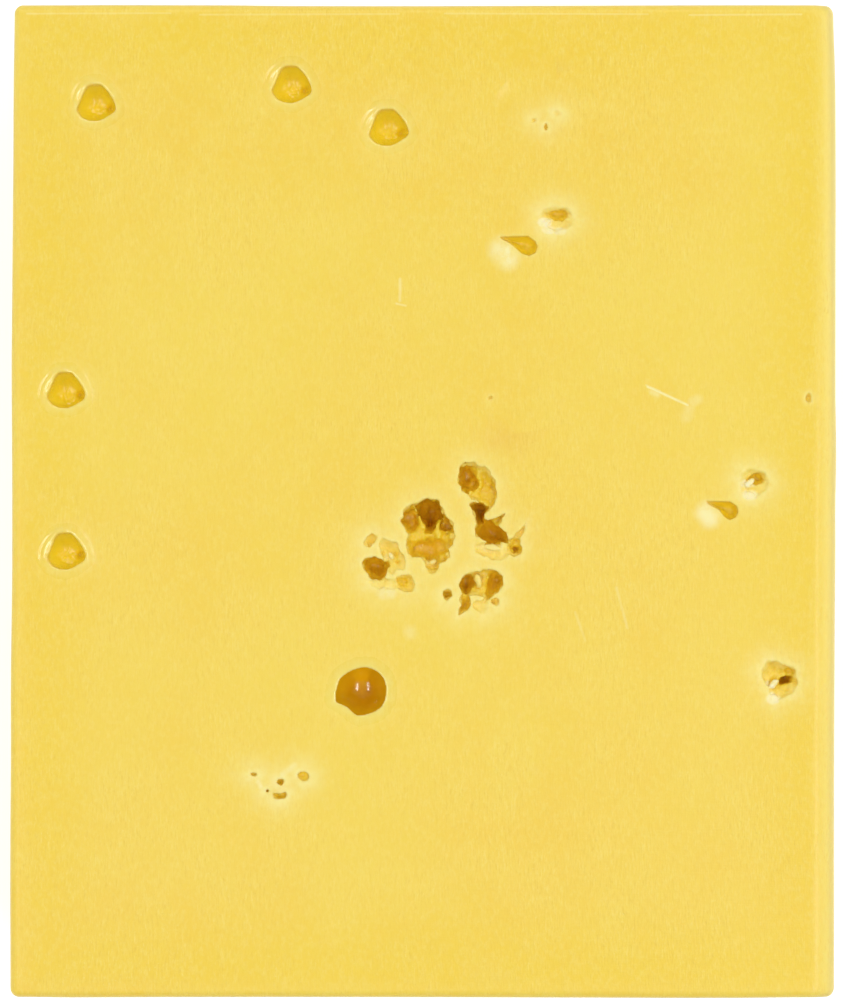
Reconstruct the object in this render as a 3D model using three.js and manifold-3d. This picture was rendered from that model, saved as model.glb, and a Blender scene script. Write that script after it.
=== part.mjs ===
// A portion of semi-hard yellow cheese, cut to a flat rectangular block that lies on its broad face.
// Millimetres, +Z up. Origin: centre of the flat underside. +Y runs along the long side.
// The block is one solid. Its round gas eyes, slit eyes and torn places are real hollows in all six cut faces.
import * as THREE from 'three';
import { mergeVertices } from 'three/addons/utils/BufferGeometryUtils.js';
import Module from 'manifold-3d';

// ---- driving dimensions ----
const LENGTH = 120;          // along Y
const WIDTH = 100;           // along X
const THICKNESS = 30;        // along Z
const EDGE_RADIUS = 0.9;     // rounding of the cut edges, above and below
const CORNER_RADIUS = 1.25;  // rounding of the four upright corners
const SHOULDER_WIDTH = 3.0;  // the wider worn shoulder along the upper +X edge
const SHOULDER_DROP = 1.8;
const EDGE_STEPS = 4;        // facets across each edge rounding
const COLOUR = 0xf5d861;

// How far each cut side wanders from straight: [station, offset inwards], both in mm.
const LEFT_SIDE = [[58, 0.54], [50, 0.41], [41, 0.38], [29, 0.27], [16, 0.17], [3, 0.24], [-9, 0.24], [-22, 0.07], [-31, 0.09], [-39, 0.02], [-48, 0.0], [-56, 0.03]];
const RIGHT_SIDE = [[-56, 0.28], [-48, 0.28], [-35, 0.28], [-22, 0.21], [-14, 0.17], [-5, 0.09], [-1, 0.14], [4, 0.0], [8, 0.01], [12, 0.11], [24, 0.1], [37, 0.04], [50, 0.08], [54, 0.18], [58, 0.35]];
const TOP_SIDE = [[47, 0.02], [37, 0.02], [25, 0.05], [15, 0.09], [1, 0.13], [-9, 0.13], [-18, 0.11], [-23, 0.03], [-38, 0.0], [-47, 0.03]];
const BOTTOM_SIDE = [[-47, 0.12], [-43, 0.05], [-33, 0.1], [-18, 0.12], [1, 0.1], [15, 0.05], [30, 0.0], [39, 0.0], [44, 0.07]];

// Every hollow: name, face, place on that face (across, up), depth, undercut (0 opens straight like a bowl,
// towards 1 it closes over like a bubble, below 0 it is a shallow dish), drift of the bottom (across, up),
// then the rim as across, up pairs measured from that place.
const EYES = [
  ['dimple_1', 'top', -39.67, 47.89, 2.10, 0.12, 0.25, -0.10,
    [-1.43, 1.78, -1.69, 1.13, -2.1, 0.14, -2.42, -0.43, -2.35, -0.84, -1.69, -1.59, -0.86, -1.92, 0.13, -1.96, 0.95, -1.67, 1.61, -1.27, 2.19, -0.93, 2.4, -0.52, 2.02, 0.55, 1.53, 1.37, 0.63, 2.36, -0.2, 2.4, -1.02, 2.31]],
  ['dimple_2', 'top', -15.94, 50.14, 2.10, 0.12, 0.25, -0.10,
    [-1.41, 1.84, -1.67, 1.18, -2.1, 0.18, -2.43, -0.41, -2.37, -0.82, -1.72, -1.6, -0.89, -1.94, 0.09, -2.01, 0.92, -1.73, 1.59, -1.32, 2.17, -0.99, 2.38, -0.58, 2.03, 0.52, 1.55, 1.37, 0.66, 2.39, -0.17, 2.44, -0.99, 2.37]],
  ['dimple_3', 'top', -4.25, 44.96, 2.10, 0.12, 0.25, -0.10,
    [-1.49, 1.75, -1.72, 1.08, -2.09, 0.07, -2.4, -0.52, -2.31, -0.93, -1.62, -1.66, -0.78, -1.96, 0.21, -1.98, 1.02, -1.66, 1.67, -1.22, 2.23, -0.86, 2.42, -0.44, 2.01, 0.63, 1.49, 1.44, 0.55, 2.41, -0.28, 2.41, -1.1, 2.3]],
  ['dimple_4', 'top', -43.27, 13.23, 2.10, 0.12, 0.25, -0.10,
    [-1.37, 1.78, -1.62, 1.14, -2.04, 0.18, -2.36, -0.38, -2.3, -0.78, -1.67, -1.53, -0.87, -1.86, 0.09, -1.92, 0.89, -1.65, 1.54, -1.26, 2.1, -0.94, 2.31, -0.54, 1.97, 0.51, 1.5, 1.32, 0.64, 2.31, -0.16, 2.36, -0.96, 2.29]],
  ['dimple_5', 'top', -43.27, -6.20, 2.10, 0.12, 0.25, -0.10,
    [-1.43, 1.76, -1.67, 1.1, -2.05, 0.11, -2.36, -0.47, -2.28, -0.88, -1.62, -1.62, -0.8, -1.93, 0.17, -1.96, 0.96, -1.66, 1.61, -1.24, 2.17, -0.89, 2.36, -0.48, 1.98, 0.59, 1.48, 1.4, 0.58, 2.37, -0.24, 2.39, -1.04, 2.3]],
  ['round_eye', 'top', -7.51, -22.95, 5.60, 0.62, 0.10, 0.05,
    [-2.28, -1.46, -1.58, -1.81, -1.05, -2.34, -0.52, -2.78, 0.54, -2.64, 1.6, -2.25, 2.31, -1.72, 2.75, -0.83, 2.87, 0.4, 2.58, 1.54, 2.05, 2.17, 1.42, 2.6, 0.54, 2.83, -0.16, 2.78, -1.05, 2.52, -1.84, 2.07, -2.54, 1.46, -2.81, 0.58, -3.02, -0.3, -2.99, -1.19]],
  ['slash_1', 'top', 12.13, 30.96, 1.70, 0.10, 0.15, 0.00,
    [-2.17, 0.48, -1.14, -0.3, -0.36, -1, 0.54, -1.34, 1.33, -0.95, 1.53, -0.3, 1.33, 0.35, 0.42, 1, -1.65, 0.98, -3.59, 0.94]],
  ['slash_2', 'top', 36.71, -1.08, 1.70, 0.10, 0.15, 0.00,
    [-2.17, 0.65, -1.11, 0.12, -0.47, -0.72, 0.17, -1.14, 0.9, -0.83, 1.23, -0.19, 1.01, 0.54, 0.17, 1.07, -3.01, 1.1]],
  ['torn_1', 'top', 16.05, 34.16, 0.55, -0.20, 0.00, 0.00,
    [-1.89, -0.77, -1.42, -1.67, -0.39, -1.93, 0.92, -1.42, 1.82, -0.9, 2.07, -0.12, 1.82, 0.65, 1.3, 1.17, 0.4, 1.35, -0.64, 1.35, -1.69, 1.04, -2.07, 0.65]],
  ['torn_1_pit', 'top', 16.11, 34.58, 1.50, -0.05, 0.10, 0.10,
    [-1.14, -0.33, -0.3, -0.6, 0.54, -0.84, 1.39, -0.42, 1.57, 0.18, 0.9, 0.63, -0.18, 0.71, -1.08, 0.52, -1.69, 0.06]],
  ['torn_2', 'top', 39.96, 2.11, 0.55, -0.20, 0.00, 0.00,
    [-1.71, -0.95, -1.18, -1.8, -0.12, -1.8, 0.94, -1.06, 1.67, -0.53, 1.67, 0.31, 1.14, 1.27, 0.3, 1.7, -0.76, 1.7, -1.6, 1.48, -1.82, 0.95]],
  ['torn_2_pit', 'top', 40.14, 2.73, 1.50, -0.05, 0.15, 0.05,
    [-1.27, -0.36, -0.72, -0.57, 0.06, -0.96, 0.84, -0.7, 1.14, -0.08, 0.78, 0.58, -0.18, 0.7, -1.08, 0.36, -1.63, -0.08]],
  ['torn_3', 'top', 43.04, -21.51, 1.05, -0.15, 0.10, 0.10,
    [-2.34, 1.25, -2.25, 0.27, -1.76, -0.57, -1.27, -1.06, -1.27, -1.71, -0.6, -2.71, 0.22, -2.29, 1.37, -1.71, 1.87, -1.22, 2.36, -0.4, 2.07, 0.51, 1.95, 1.25, 1.2, 1.66, 0.22, 1.83, -0.6, 2.37, -1.59, 2.24, -2, 1.58]],
  ['torn_3_pit', 'top', 43.76, -21.63, 3.20, 0.10, 0.10, 0.10,
    [-0.12, -0.6, 0.72, -0.36, 0.92, 0.45, 0.18, 0.53, -0.48, 0.45, -0.9, -0.72]],
  ['torn_3_lobe', 'top', 42.19, -20.12, 0.95, -0.05, 0.00, 0.00,
    [-0.72, -0.66, 0.24, -0.9, 1.08, -0.54, 0.96, 0.18, 0.24, 0.78, -0.66, 0.66, -1.08, 0.06]],
  ['torn_3_right', 'top', 44.30, -20.48, 1.30, 0.05, 0.00, 0.00,
    [-0.78, -0.42, 0.06, -0.9, 0.66, -0.54, 0.54, 0.12, -0.18, 0.48, -0.9, 0.18]],
  ['c1_bowl', 'top', 0.63, -3.80, 1.35, 0.05, 0.00, 0.00,
    [-1.54, 3.67, -2.75, 3.07, -3.05, 2.47, -3.49, 1.49, -3.05, 0.66, -2.52, -0.24, -2.89, -1.14, -2.66, -2.35, -1.99, -2.95, -0.94, -3.01, 0.12, -3.13, 1.08, -3.25, 2.07, -3.31, 2.53, -2.8, 2.37, -2.05, 2.98, -1.45, 3.13, -0.39, 2.9, 0.89, 2.37, 1.72, 1.55, 2.54, 1.23, 3.25, 1.17, 3.83, -0.34, 4.05]],
  ['c1_deep', 'top', 0.81, -1.75, 5.20, 0.30, 0.10, 0.30,
    [-1.45, 0, -0.78, -1.08, -0.42, -2.05, 0.12, -2.23, 0.78, -1.2, 1.51, -0.24, 1.39, 0.6, 0.9, 1.69, -0.54, 1.93, -1.87, 1.2]],
  ['c1_left', 'top', -1.54, -2.23, 2.90, 0.30, -0.25, 0.00,
    [-0.24, -1.33, 0.84, -1.57, 1.45, -0.72, 1.08, 0.72, 0.12, 1.69, -0.78, 1.08, -1.2, -0.06]],
  ['c1_right', 'top', 2.55, -2.95, 2.80, 0.30, 0.25, 0.00,
    [-0.96, -0.6, -0.24, -1.27, 0.66, -0.9, 1.02, -0.12, 0.66, 0.66, -0.24, 1.57, -0.96, 0.72]],
  ['c1_low', 'top', 0.75, -5.36, 2.50, 0.25, -0.10, -0.35,
    [-2.83, -0.36, -2.05, -1.2, -0.6, -1.33, 0.96, -1.2, 2.05, -0.72, 2.8, 0, 2.89, 0.96, 1.81, 1.2, 0.24, 1.14, -1.2, 1.08, -2.71, 0.72]],
  ['c1_tail', 'top', 1.41, -7.17, 1.40, 0.05, 0.00, 0.00,
    [-1.27, -0.78, -0.54, -1.45, 0.1, -1.27, 0.54, -0.36, 1.33, 0, 1.63, 1.08, 0.06, 0.96, -1.75, 0.6]],
  ['c2_bowl', 'top', 6.53, 1.99, 1.35, 0.00, 0.00, 0.00,
    [-1.93, -0.72, -0.78, -1.45, 0.36, -2.41, 1.33, -2.65, 2.05, -1.81, 2.17, -0.36, 1.75, 0.96, 0.84, 2.17, -0.48, 2.71, -1.57, 2.59, -2.29, 1.69]],
  ['c2_top', 'top', 5.45, 2.71, 3.10, 0.25, -0.15, 0.10,
    [-1.24, -0.6, -0.84, -1.45, -0.12, -1.81, 0.6, -1.45, 1.2, -1.2, 1.45, -0.54, 1.2, 0, 0.72, 0.6, 0.36, 1.45, -0.36, 1.99, -1.24, 1.08]],
  ['c2_right', 'top', 7.61, 1.63, 1.70, 0.10, 0.10, 0.00,
    [-1.08, 1.45, -0.6, 0.48, -1.08, -0.24, -1.75, -1.2, -0.72, -1.81, 0.12, -2.53, 0.9, -2.05, 1.2, -0.96, 1.04, 0.24, 0.66, 1.23, 0, 1.69, -0.24, 2.33, -1.08, 2.67, -1.57, 2.41]],
  ['c2_neck', 'top', 6.83, -1.27, 3.80, 0.20, 0.00, 0.00,
    [-0.66, -0.6, -0.3, -2.17, 0.66, -2.17, 0.42, -0.96, 0.54, -0.24, 1.08, 0.48, 0.42, 1.08, -0.78, 1.2, -1.27, 0.84]],
  ['c2_low', 'top', 8.04, -3.67, 3.60, 0.30, 0.20, -0.10,
    [-1.57, -0.54, -0.78, -1.08, -0.06, -1.49, 0.9, -1.2, 1.99, -1.33, 1.87, -0.12, 1.02, 0.72, -0.06, 1.51, -0.78, 1.63, -1.57, 1.08, -1.75, 0.36]],
  ['c2_spike', 'top', 8.82, -2.41, 1.40, 0.00, 0.00, 0.00,
    [-0.96, -0.54, -0.12, -0.78, 0.36, -0.3, 0.96, 0.94, -1.08, 0.18]],
  ['c2_corner', 'top', 11.02, -5.42, 1.30, 0.05, 0.00, 0.00,
    [-0.86, -0.78, -0.16, -1.14, 0.69, -0.9, 0.93, -0.18, 0.63, 1.02, -0.28, 1.14, -0.94, 0.66]],
  ['c2_shelf', 'top', 8.10, -5.78, 0.60, -0.25, 0.00, 0.00,
    [-1.93, -0.36, -0.96, -0.9, 0.72, -1.27, 1.99, -0.78, 1.99, 0.66, 0.84, 0.96, -0.84, 1.02, -1.99, 0.42]],
  ['c3_eye', 'top', -5.88, -8.01, 3.00, 0.30, 0.10, 0.15,
    [-1.08, -0.54, -0.3, -1.33, 0.6, -1.45, 1.33, -0.84, 1.45, 0.24, 0.72, 1.08, -0.16, 1.45, -1.08, 1.08, -1.51, 0.6]],
  ['c3_top', 'top', -6.39, -4.64, 0.80, -0.05, 0.00, 0.00,
    [-0.1, -0.84, 0.63, -0.36, 0.75, 0.36, 0.14, 0.84, -0.52, 0.36, -0.76, -0.42]],
  ['c3_groove', 'top', -3.89, -6.33, 0.95, -0.05, 0.00, 0.00,
    [-1.39, 0.24, -0.96, -0.72, -0.6, -1.93, 0.18, -2.65, 0.66, -1.93, 1.45, -2.05, 1.66, -0.96, 1.14, 0.24, 0.42, 1.39, -0.9, 1.93, -1.57, 1.45]],
  ['c3_low', 'top', -2.20, -9.94, 1.00, 0.00, 0.00, 0.00,
    [-0.84, -0.6, 0.06, -1.08, 0.84, -0.9, 1.14, -0.06, 0.78, 0.84, -0.24, 1.08, -1.14, 0.72]],
  ['c3_shelf', 'top', -4.80, -9.82, 0.45, -0.30, 0.00, 0.00,
    [-1.69, -0.48, -0.48, -0.66, 0.96, -0.84, 2.17, -0.6, 1.93, 0.36, 0.72, 0.6, -0.48, 0.42, -1.93, 0.24]],
  ['c4_bowl', 'top', 6.89, -9.82, 1.20, 0.00, 0.00, 0.00,
    [-1.81, -1.63, -0.6, -1.33, 0.84, -1.75, 2.05, -1.27, 2.71, -0.24, 2.53, 0.96, 1.57, 1.63, 0.12, 1.57, -1.33, 1.33, -2.29, 0.66, -2.65, -0.36]],
  ['c4_left', 'top', 5.08, -9.94, 2.90, 0.20, 0.00, 0.00,
    [-0.58, -0.96, 0, -1.51, 0.48, -0.96, 0.84, -0.24, 1.14, 0.84, 0.66, 1.33, 0, 1.08, -0.54, 0.66, -0.9, -0.12]],
  ['c4_mid', 'top', 6.77, -9.70, 0.90, -0.10, 0.00, 0.00,
    [-1.08, -0.6, -0.48, -1.27, 0.6, -1.2, 1.08, -0.12, 1.08, 1.39, 0.12, 1.14, -0.84, 0.6]],
  ['c4_right', 'top', 8.46, -9.94, 2.50, 0.20, 0.15, 0.00,
    [-0.84, -0.36, -1.27, -1.33, -0.84, -1.87, -0.12, -1.45, 0.6, -0.84, 1.11, 0, 1.05, 0.96, 0.24, 1.65, -0.72, 1.33]],
  ['c4_tail', 'top', 5.14, -12.17, 1.60, 0.05, 0.00, 0.00,
    [-0.66, 0.42, -0.54, -0.36, -0.9, -0.9, -1.02, -1.63, 0, -1.08, 0.6, -0.36, 0.36, 0.54, 0.3, 1.33, -0.6, 1.02]],
  ['c4_pit', 'top', 2.86, -11.34, 1.40, 0.10, 0.00, 0.00,
    [0.45, 0.48, 0, 0.68, -0.53, 0.56, -0.6, 0, -0.5, -0.53, 0, -0.74, 0.42, -0.45, 0.75, 0]],
  ['c4_shelf', 'top', 6.89, -12.59, 0.50, -0.30, 0.00, 0.00,
    [0.81, 0.71, 0, 0.84, -0.72, 0.63, -1.12, 0, -0.64, -0.56, 0, -0.97, 0.73, -0.65, 0.93, 0]],
  ['front_eye_1', 'front', -31.50, 5.50, 2.20, 0.15, 0.20, -0.10,
    [2.51, 0.91, 1.42, 1.78, 0.04, 2.1, -1.38, 1.58, -2.33, 0.47, -2.42, -0.88, -1.56, -1.95, -0.04, -2, 1.34, -1.53, 2.42, -0.49]],
  ['front_eye_2', 'front', -6.80, -4.60, 4.60, 0.50, 0.00, 0.10,
    [2.75, -0.48, 2.56, 1.09, 1.27, 2.21, -0.46, 2.63, -2.16, 2.02, -2.89, 0.51, -2.34, -1, -1.31, -2.27, 0.48, -2.75, 2.1, -1.96]],
  ['front_eye_3', 'front', 18.60, 3.80, 1.90, 0.10, 0.10, 0.00,
    [1.72, 1.21, 0.84, 1.87, -0.44, 1.84, -1.66, 1.09, -1.92, -0.14, -1.71, -1.2, -0.86, -1.92, 0.46, -1.92, 1.5, -0.98, 2.08, 0.16]],
  ['front_eye_4', 'front', 22.90, 1.20, 1.60, 0.10, 0.00, 0.00,
    [1.39, -0.5, 1.36, 0.4, 0.37, 1, -0.68, 1.02, -1.5, 0.55, -1.28, -0.37, -0.37, -1.01, 0.72, -1.07]],
  ['front_slit', 'front', 37.40, -6.90, 1.10, 0.00, 0.00, 0.00,
    [1.81, 0.96, 0.92, 0.9, -0.26, 0.48, -1.42, -0.3, -1.68, -0.89, -1.02, -0.99, 0.24, -0.45, 1.4, 0.29]],
  ['back_eye_1', 'back', -27.20, -3.40, 2.30, 0.15, 0.20, -0.10,
    [2.14, -1.23, 2.35, 0.06, 1.83, 1.48, 0.35, 2.21, -1.22, 2.25, -2.21, 1.27, -2.37, -0.07, -1.68, -1.36, -0.39, -2.43, 1.19, -2.19]],
  ['back_eye_2', 'back', 9.30, 5.90, 1.80, 0.10, 0.00, 0.00,
    [2.01, 0.35, 1.42, 1.33, 0.32, 1.85, -0.92, 1.6, -1.75, 0.75, -1.81, -0.32, -1.48, -1.39, -0.33, -1.91, 0.9, -1.56, 1.64, -0.7]],
  ['back_eye_3', 'back', 13.00, 3.00, 2.40, 0.30, 0.00, 0.00,
    [1.31, 1.1, 0.35, 1.56, -0.79, 0.95, -1.44, -0.07, -1.4, -1.18, -0.33, -1.47, 0.81, -0.96, 1.5, 0.07]],
  ['back_eye_4', 'back', 34.80, -6.20, 2.90, 0.30, 0.00, 0.10,
    [2.58, 0, 2, 1.34, 0.7, 1.98, -0.8, 2.28, -2.14, 1.43, -2.52, 0, -1.89, -1.26, -0.78, -2.21, 0.76, -2.15, 2.1, -1.41]],
  ['left_eye_1', 'left', -38.50, 4.20, 2.10, 0.12, 0.20, -0.10,
    [2.11, 0.57, 1.5, 1.7, 0.18, 2.32, -1.33, 1.94, -2.1, 0.71, -2.3, -0.62, -1.5, -1.7, -0.18, -2.24, 1.3, -1.89, 2.31, -0.78]],
  ['left_eye_2', 'left', -12.20, -6.30, 2.00, 0.12, 0.10, 0.00,
    [2.01, -0.94, 2.23, 0.28, 1.39, 1.36, 0.14, 1.87, -1.12, 1.74, -1.95, 0.91, -2.13, -0.27, -1.47, -1.44, -0.14, -1.89, 1.05, -1.62]],
  ['left_eye_3', 'left', 17.10, 3.30, 4.40, 0.50, 0.00, 0.10,
    [2.95, 0.26, 2.06, 1.61, 0.66, 2.45, -1.02, 2.19, -2.38, 1.26, -2.91, -0.25, -2.26, -1.77, -0.6, -2.24, 1.03, -2.21, 2.46, -1.31]],
  ['left_eye_4', 'left', 20.90, -0.40, 1.90, 0.10, 0.00, 0.00,
    [1.44, -1.12, 1.48, -0.11, 0.71, 0.91, -0.53, 1.59, -1.38, 1.08, -1.42, 0.11, -0.77, -0.99, 0.48, -1.46]],
  ['left_slit', 'left', 43.60, -2.80, 1.00, 0.00, 0.00, 0.00,
    [1.98, -0.42, 1.65, -0.06, 0.78, 0.35, -0.57, 0.63, -1.52, 0.61, -1.93, 0.41, -1.78, 0.07, -0.76, -0.34, 0.54, -0.61, 1.6, -0.64]],
  ['right_eye_1', 'right', -41.30, -5.00, 2.00, 0.12, 0.20, -0.10,
    [1.97, 1.13, 1.13, 2.14, -0.33, 1.99, -1.48, 1.22, -2.13, 0.09, -2.09, -1.21, -1.02, -1.95, 0.35, -2.07, 1.53, -1.26, 2.09, -0.08]],
  ['right_eye_2', 'right', -15.90, 4.40, 2.60, 0.25, 0.00, 0.00,
    [2.63, -0.71, 2.34, 0.8, 1.27, 1.85, -0.19, 2.49, -1.67, 1.91, -2.61, 0.7, -2.41, -0.82, -1.33, -1.94, 0.17, -2.23, 1.79, -2.05]],
  ['right_eye_3', 'right', 11.40, -3.10, 1.80, 0.10, 0.00, 0.00,
    [1.71, 0.76, 1.1, 1.44, -0.02, 1.56, -1.17, 1.07, -1.9, 0.15, -1.84, -0.82, -1.03, -1.35, 0.02, -1.54, 1.23, -1.13, 1.88, -0.15]],
  ['right_eye_4', 'right', 14.70, -5.50, 2.30, 0.30, 0.00, 0.00,
    [1.51, 0, 1.04, 0.83, 0, 1.28, -1.04, 0.83, -1.38, 0, -1.15, -0.92, -0, -1.21, 1.01, -0.81]],
  ['right_eye_5', 'right', 38.90, 2.70, 2.20, 0.15, 0.10, 0.10,
    [2.01, -1.41, 2.38, -0.11, 1.81, 1.25, 0.48, 1.85, -0.88, 2.11, -2.07, 1.45, -2.41, 0.11, -1.65, -1.14, -0.54, -2.06, 0.85, -2.06]],
  ['base_eye_1', 'bottom', -34.20, 37.50, 2.20, 0.12, 0.20, -0.10,
    [2.69, 0.72, 1.62, 1.71, 0.22, 2.08, -1.35, 1.85, -2.54, 0.75, -2.47, -0.66, -1.67, -1.76, -0.23, -2.18, 1.3, -1.79, 2.43, -0.72]],
  ['base_eye_2', 'bottom', 12.80, 43.10, 2.30, 0.12, 0.20, -0.10,
    [2.14, -0.78, 2.29, 0.51, 1.51, 1.78, -0.01, 2.32, -1.42, 1.86, -2.35, 0.85, -2.24, -0.5, -1.44, -1.7, 0.01, -2.36, 1.51, -1.98]],
  ['base_eye_3', 'bottom', 36.90, 18.40, 5.20, 0.55, 0.00, 0.10,
    [2.88, 0, 2.51, 1.7, 0.88, 2.53, -0.91, 2.61, -2.25, 1.52, -2.83, 0, -2.37, -1.6, -0.98, -2.81, 0.85, -2.45, 2.21, -1.5]],
  ['base_eye_4', 'bottom', -21.50, -8.90, 1.90, 0.10, 0.10, 0.00,
    [1.93, 1.12, 1, 1.89, -0.31, 1.88, -1.44, 1.18, -2.03, 0.07, -2.06, -1.19, -1.01, -1.91, 0.3, -1.79, 1.41, -1.16, 2.2, -0.08]],
  ['base_eye_5', 'bottom', -39.40, -33.00, 2.10, 0.12, 0.20, -0.10,
    [2.13, -1.23, 2.2, 0.05, 1.51, 1.21, 0.31, 2.05, -1.19, 2.17, -2.03, 1.17, -2.13, -0.04, -1.58, -1.27, -0.32, -2.1, 1.1, -2]],
  ['base_eye_6', 'bottom', 6.90, -38.20, 2.20, 0.20, 0.00, 0.00,
    [1.77, 1.48, 0.76, 1.93, -0.58, 1.95, -1.72, 0.86, -2.09, -0.42, -1.73, -1.45, -0.84, -2.14, 0.53, -1.78, 1.74, -0.87, 2.16, 0.44]],
  ['base_eye_7', 'bottom', 10.40, -41.20, 3.40, 0.35, 0.00, 0.00,
    [2.02, 0.36, 1.54, 1.23, 0.37, 1.53, -0.8, 1.21, -1.75, 0.59, -1.97, -0.35, -1.48, -1.18, -0.37, -1.55, 0.85, -1.29, 1.59, -0.53]],
  ['base_eye_8', 'bottom', 13.60, -37.40, 1.90, 0.10, 0.00, 0.00,
    [1.46, -1.02, 1.51, 0.12, 0.78, 1.11, -0.42, 1.51, -1.45, 1.02, -1.55, -0.12, -0.75, -1.08, 0.43, -1.54]],
  ['base_eye_9', 'bottom', 33.30, -44.60, 2.40, 0.20, 0.00, 0.00,
    [2.35, 0, 2.03, 1.36, 0.75, 2.12, -0.8, 2.26, -2.1, 1.41, -2.53, 0, -1.81, -1.21, -0.79, -2.22, 0.82, -2.31, 2.08, -1.39]],
  ['base_slit', 'bottom', -12.60, 19.70, 1.10, 0.00, 0.00, 0.00,
    [1.65, -1.49, 1.59, -1, 0.91, -0.09, -0.19, 0.92, -1.08, 1.38, -1.62, 1.46, -1.65, 1.04, -0.94, 0.09, 0.17, -0.84, 1.16, -1.47]],
];

// ---- the block ----
const half = { x: WIDTH / 2, y: LENGTH / 2 };

// The plan outline runs anticlockwise, with a short arc at each corner.
function planShape() {
  const pts = [];
  const arc = (cx, cy, from) => {
    for (let i = 0; i <= 4; i++) {
      const a = from + (i / 4) * (Math.PI / 2);
      pts.push(new THREE.Vector2(cx + CORNER_RADIUS * Math.cos(a), cy + CORNER_RADIUS * Math.sin(a)));
    }
  };
  const inL = LEFT_SIDE, inR = RIGHT_SIDE, inT = TOP_SIDE, inB = BOTTOM_SIDE;
  for (const [x, o] of inB) pts.push(new THREE.Vector2(x, -half.y + o));
  arc(half.x - inR[0][1] - CORNER_RADIUS, -half.y + inB.at(-1)[1] + CORNER_RADIUS, -Math.PI / 2);
  for (const [y, o] of inR) pts.push(new THREE.Vector2(half.x - o, y));
  arc(half.x - inR.at(-1)[1] - CORNER_RADIUS, half.y - inT[0][1] - CORNER_RADIUS, 0);
  for (const [x, o] of inT) pts.push(new THREE.Vector2(x, half.y - o));
  arc(-half.x + inL[0][1] + CORNER_RADIUS, half.y - inT.at(-1)[1] - CORNER_RADIUS, Math.PI / 2);
  for (const [y, o] of inL) pts.push(new THREE.Vector2(-half.x + o, y));
  arc(-half.x + inL.at(-1)[1] + CORNER_RADIUS, -half.y + inB[0][1] + CORNER_RADIUS, Math.PI);
  return new THREE.Shape(pts);
}

function blockGeometry() {
  const geometry = new THREE.ExtrudeGeometry(planShape(), {
    depth: THICKNESS - 2 * EDGE_RADIUS,
    bevelEnabled: true,
    bevelThickness: EDGE_RADIUS,
    bevelSize: EDGE_RADIUS,
    bevelOffset: -EDGE_RADIUS,
    bevelSegments: EDGE_STEPS,
    steps: 1,
  });
  geometry.translate(0, 0, EDGE_RADIUS);
  return geometry;
}

// The end profile, wider than the block everywhere but along the worn upper +X edge.
function shoulderGeometry() {
  const s = new THREE.Shape();
  const r = half.x + 3;
  s.moveTo(-r, -3);
  s.lineTo(half.x + 0.4, -3);
  s.lineTo(half.x + 0.4, THICKNESS - SHOULDER_DROP - 1.4);
  const from = new THREE.Vector2(half.x + 0.4, THICKNESS - SHOULDER_DROP - 1.4);
  const to = new THREE.Vector2(half.x - SHOULDER_WIDTH, THICKNESS + 0.02);
  const mid = new THREE.Vector2(half.x - 0.35, THICKNESS - 0.35);
  const curve = new THREE.QuadraticBezierCurve(from, mid, to);
  for (const p of curve.getPoints(7).slice(1)) s.lineTo(p.x, p.y);
  s.lineTo(half.x - SHOULDER_WIDTH - 0.5, THICKNESS + 3);
  s.lineTo(-r, THICKNESS + 3);
  const geometry = new THREE.ExtrudeGeometry(s, { depth: LENGTH + 8, bevelEnabled: false, steps: 1 });
  // the profile is drawn in X and Z, and runs along Y
  geometry.rotateX(Math.PI / 2);
  geometry.translate(0, half.y + 4, 0);
  return geometry;
}

// ---- the hollows ----
// Each face gives where its middle is, and which way across, up and out point.
const FACES = {
  top: { at: [0, 0, THICKNESS], across: [1, 0, 0], up: [0, 1, 0] },
  bottom: { at: [0, 0, 0], across: [1, 0, 0], up: [0, -1, 0] },
  front: { at: [0, -half.y, THICKNESS / 2], across: [1, 0, 0], up: [0, 0, 1] },
  back: { at: [0, half.y, THICKNESS / 2], across: [-1, 0, 0], up: [0, 0, 1] },
  left: { at: [-half.x, 0, THICKNESS / 2], across: [0, -1, 0], up: [0, 0, 1] },
  right: { at: [half.x, 0, THICKNESS / 2], across: [0, 1, 0], up: [0, 0, 1] },
};

// How far the rim lies from its centre in the direction of angle a.
function rimRadius(rim, a) {
  const c = Math.cos(a), s = Math.sin(a);
  let best = 0.2;
  for (let i = 0; i < rim.length; i += 2) {
    const j = (i + 2) % rim.length;
    const ax = rim[i], ay = rim[i + 1];
    const dx = rim[j] - ax, dy = rim[j + 1] - ay;
    const den = c * dy - s * dx;
    if (Math.abs(den) < 1e-9) continue;
    const r = (ax * dy - ay * dx) / den;
    const t = Math.abs(dx) > Math.abs(dy) ? (r * c - ax) / dx : (r * s - ay) / dy;
    if (r > 0 && t > -1e-6 && t < 1 + 1e-6) best = Math.max(best, r);
  }
  return best;
}

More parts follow.
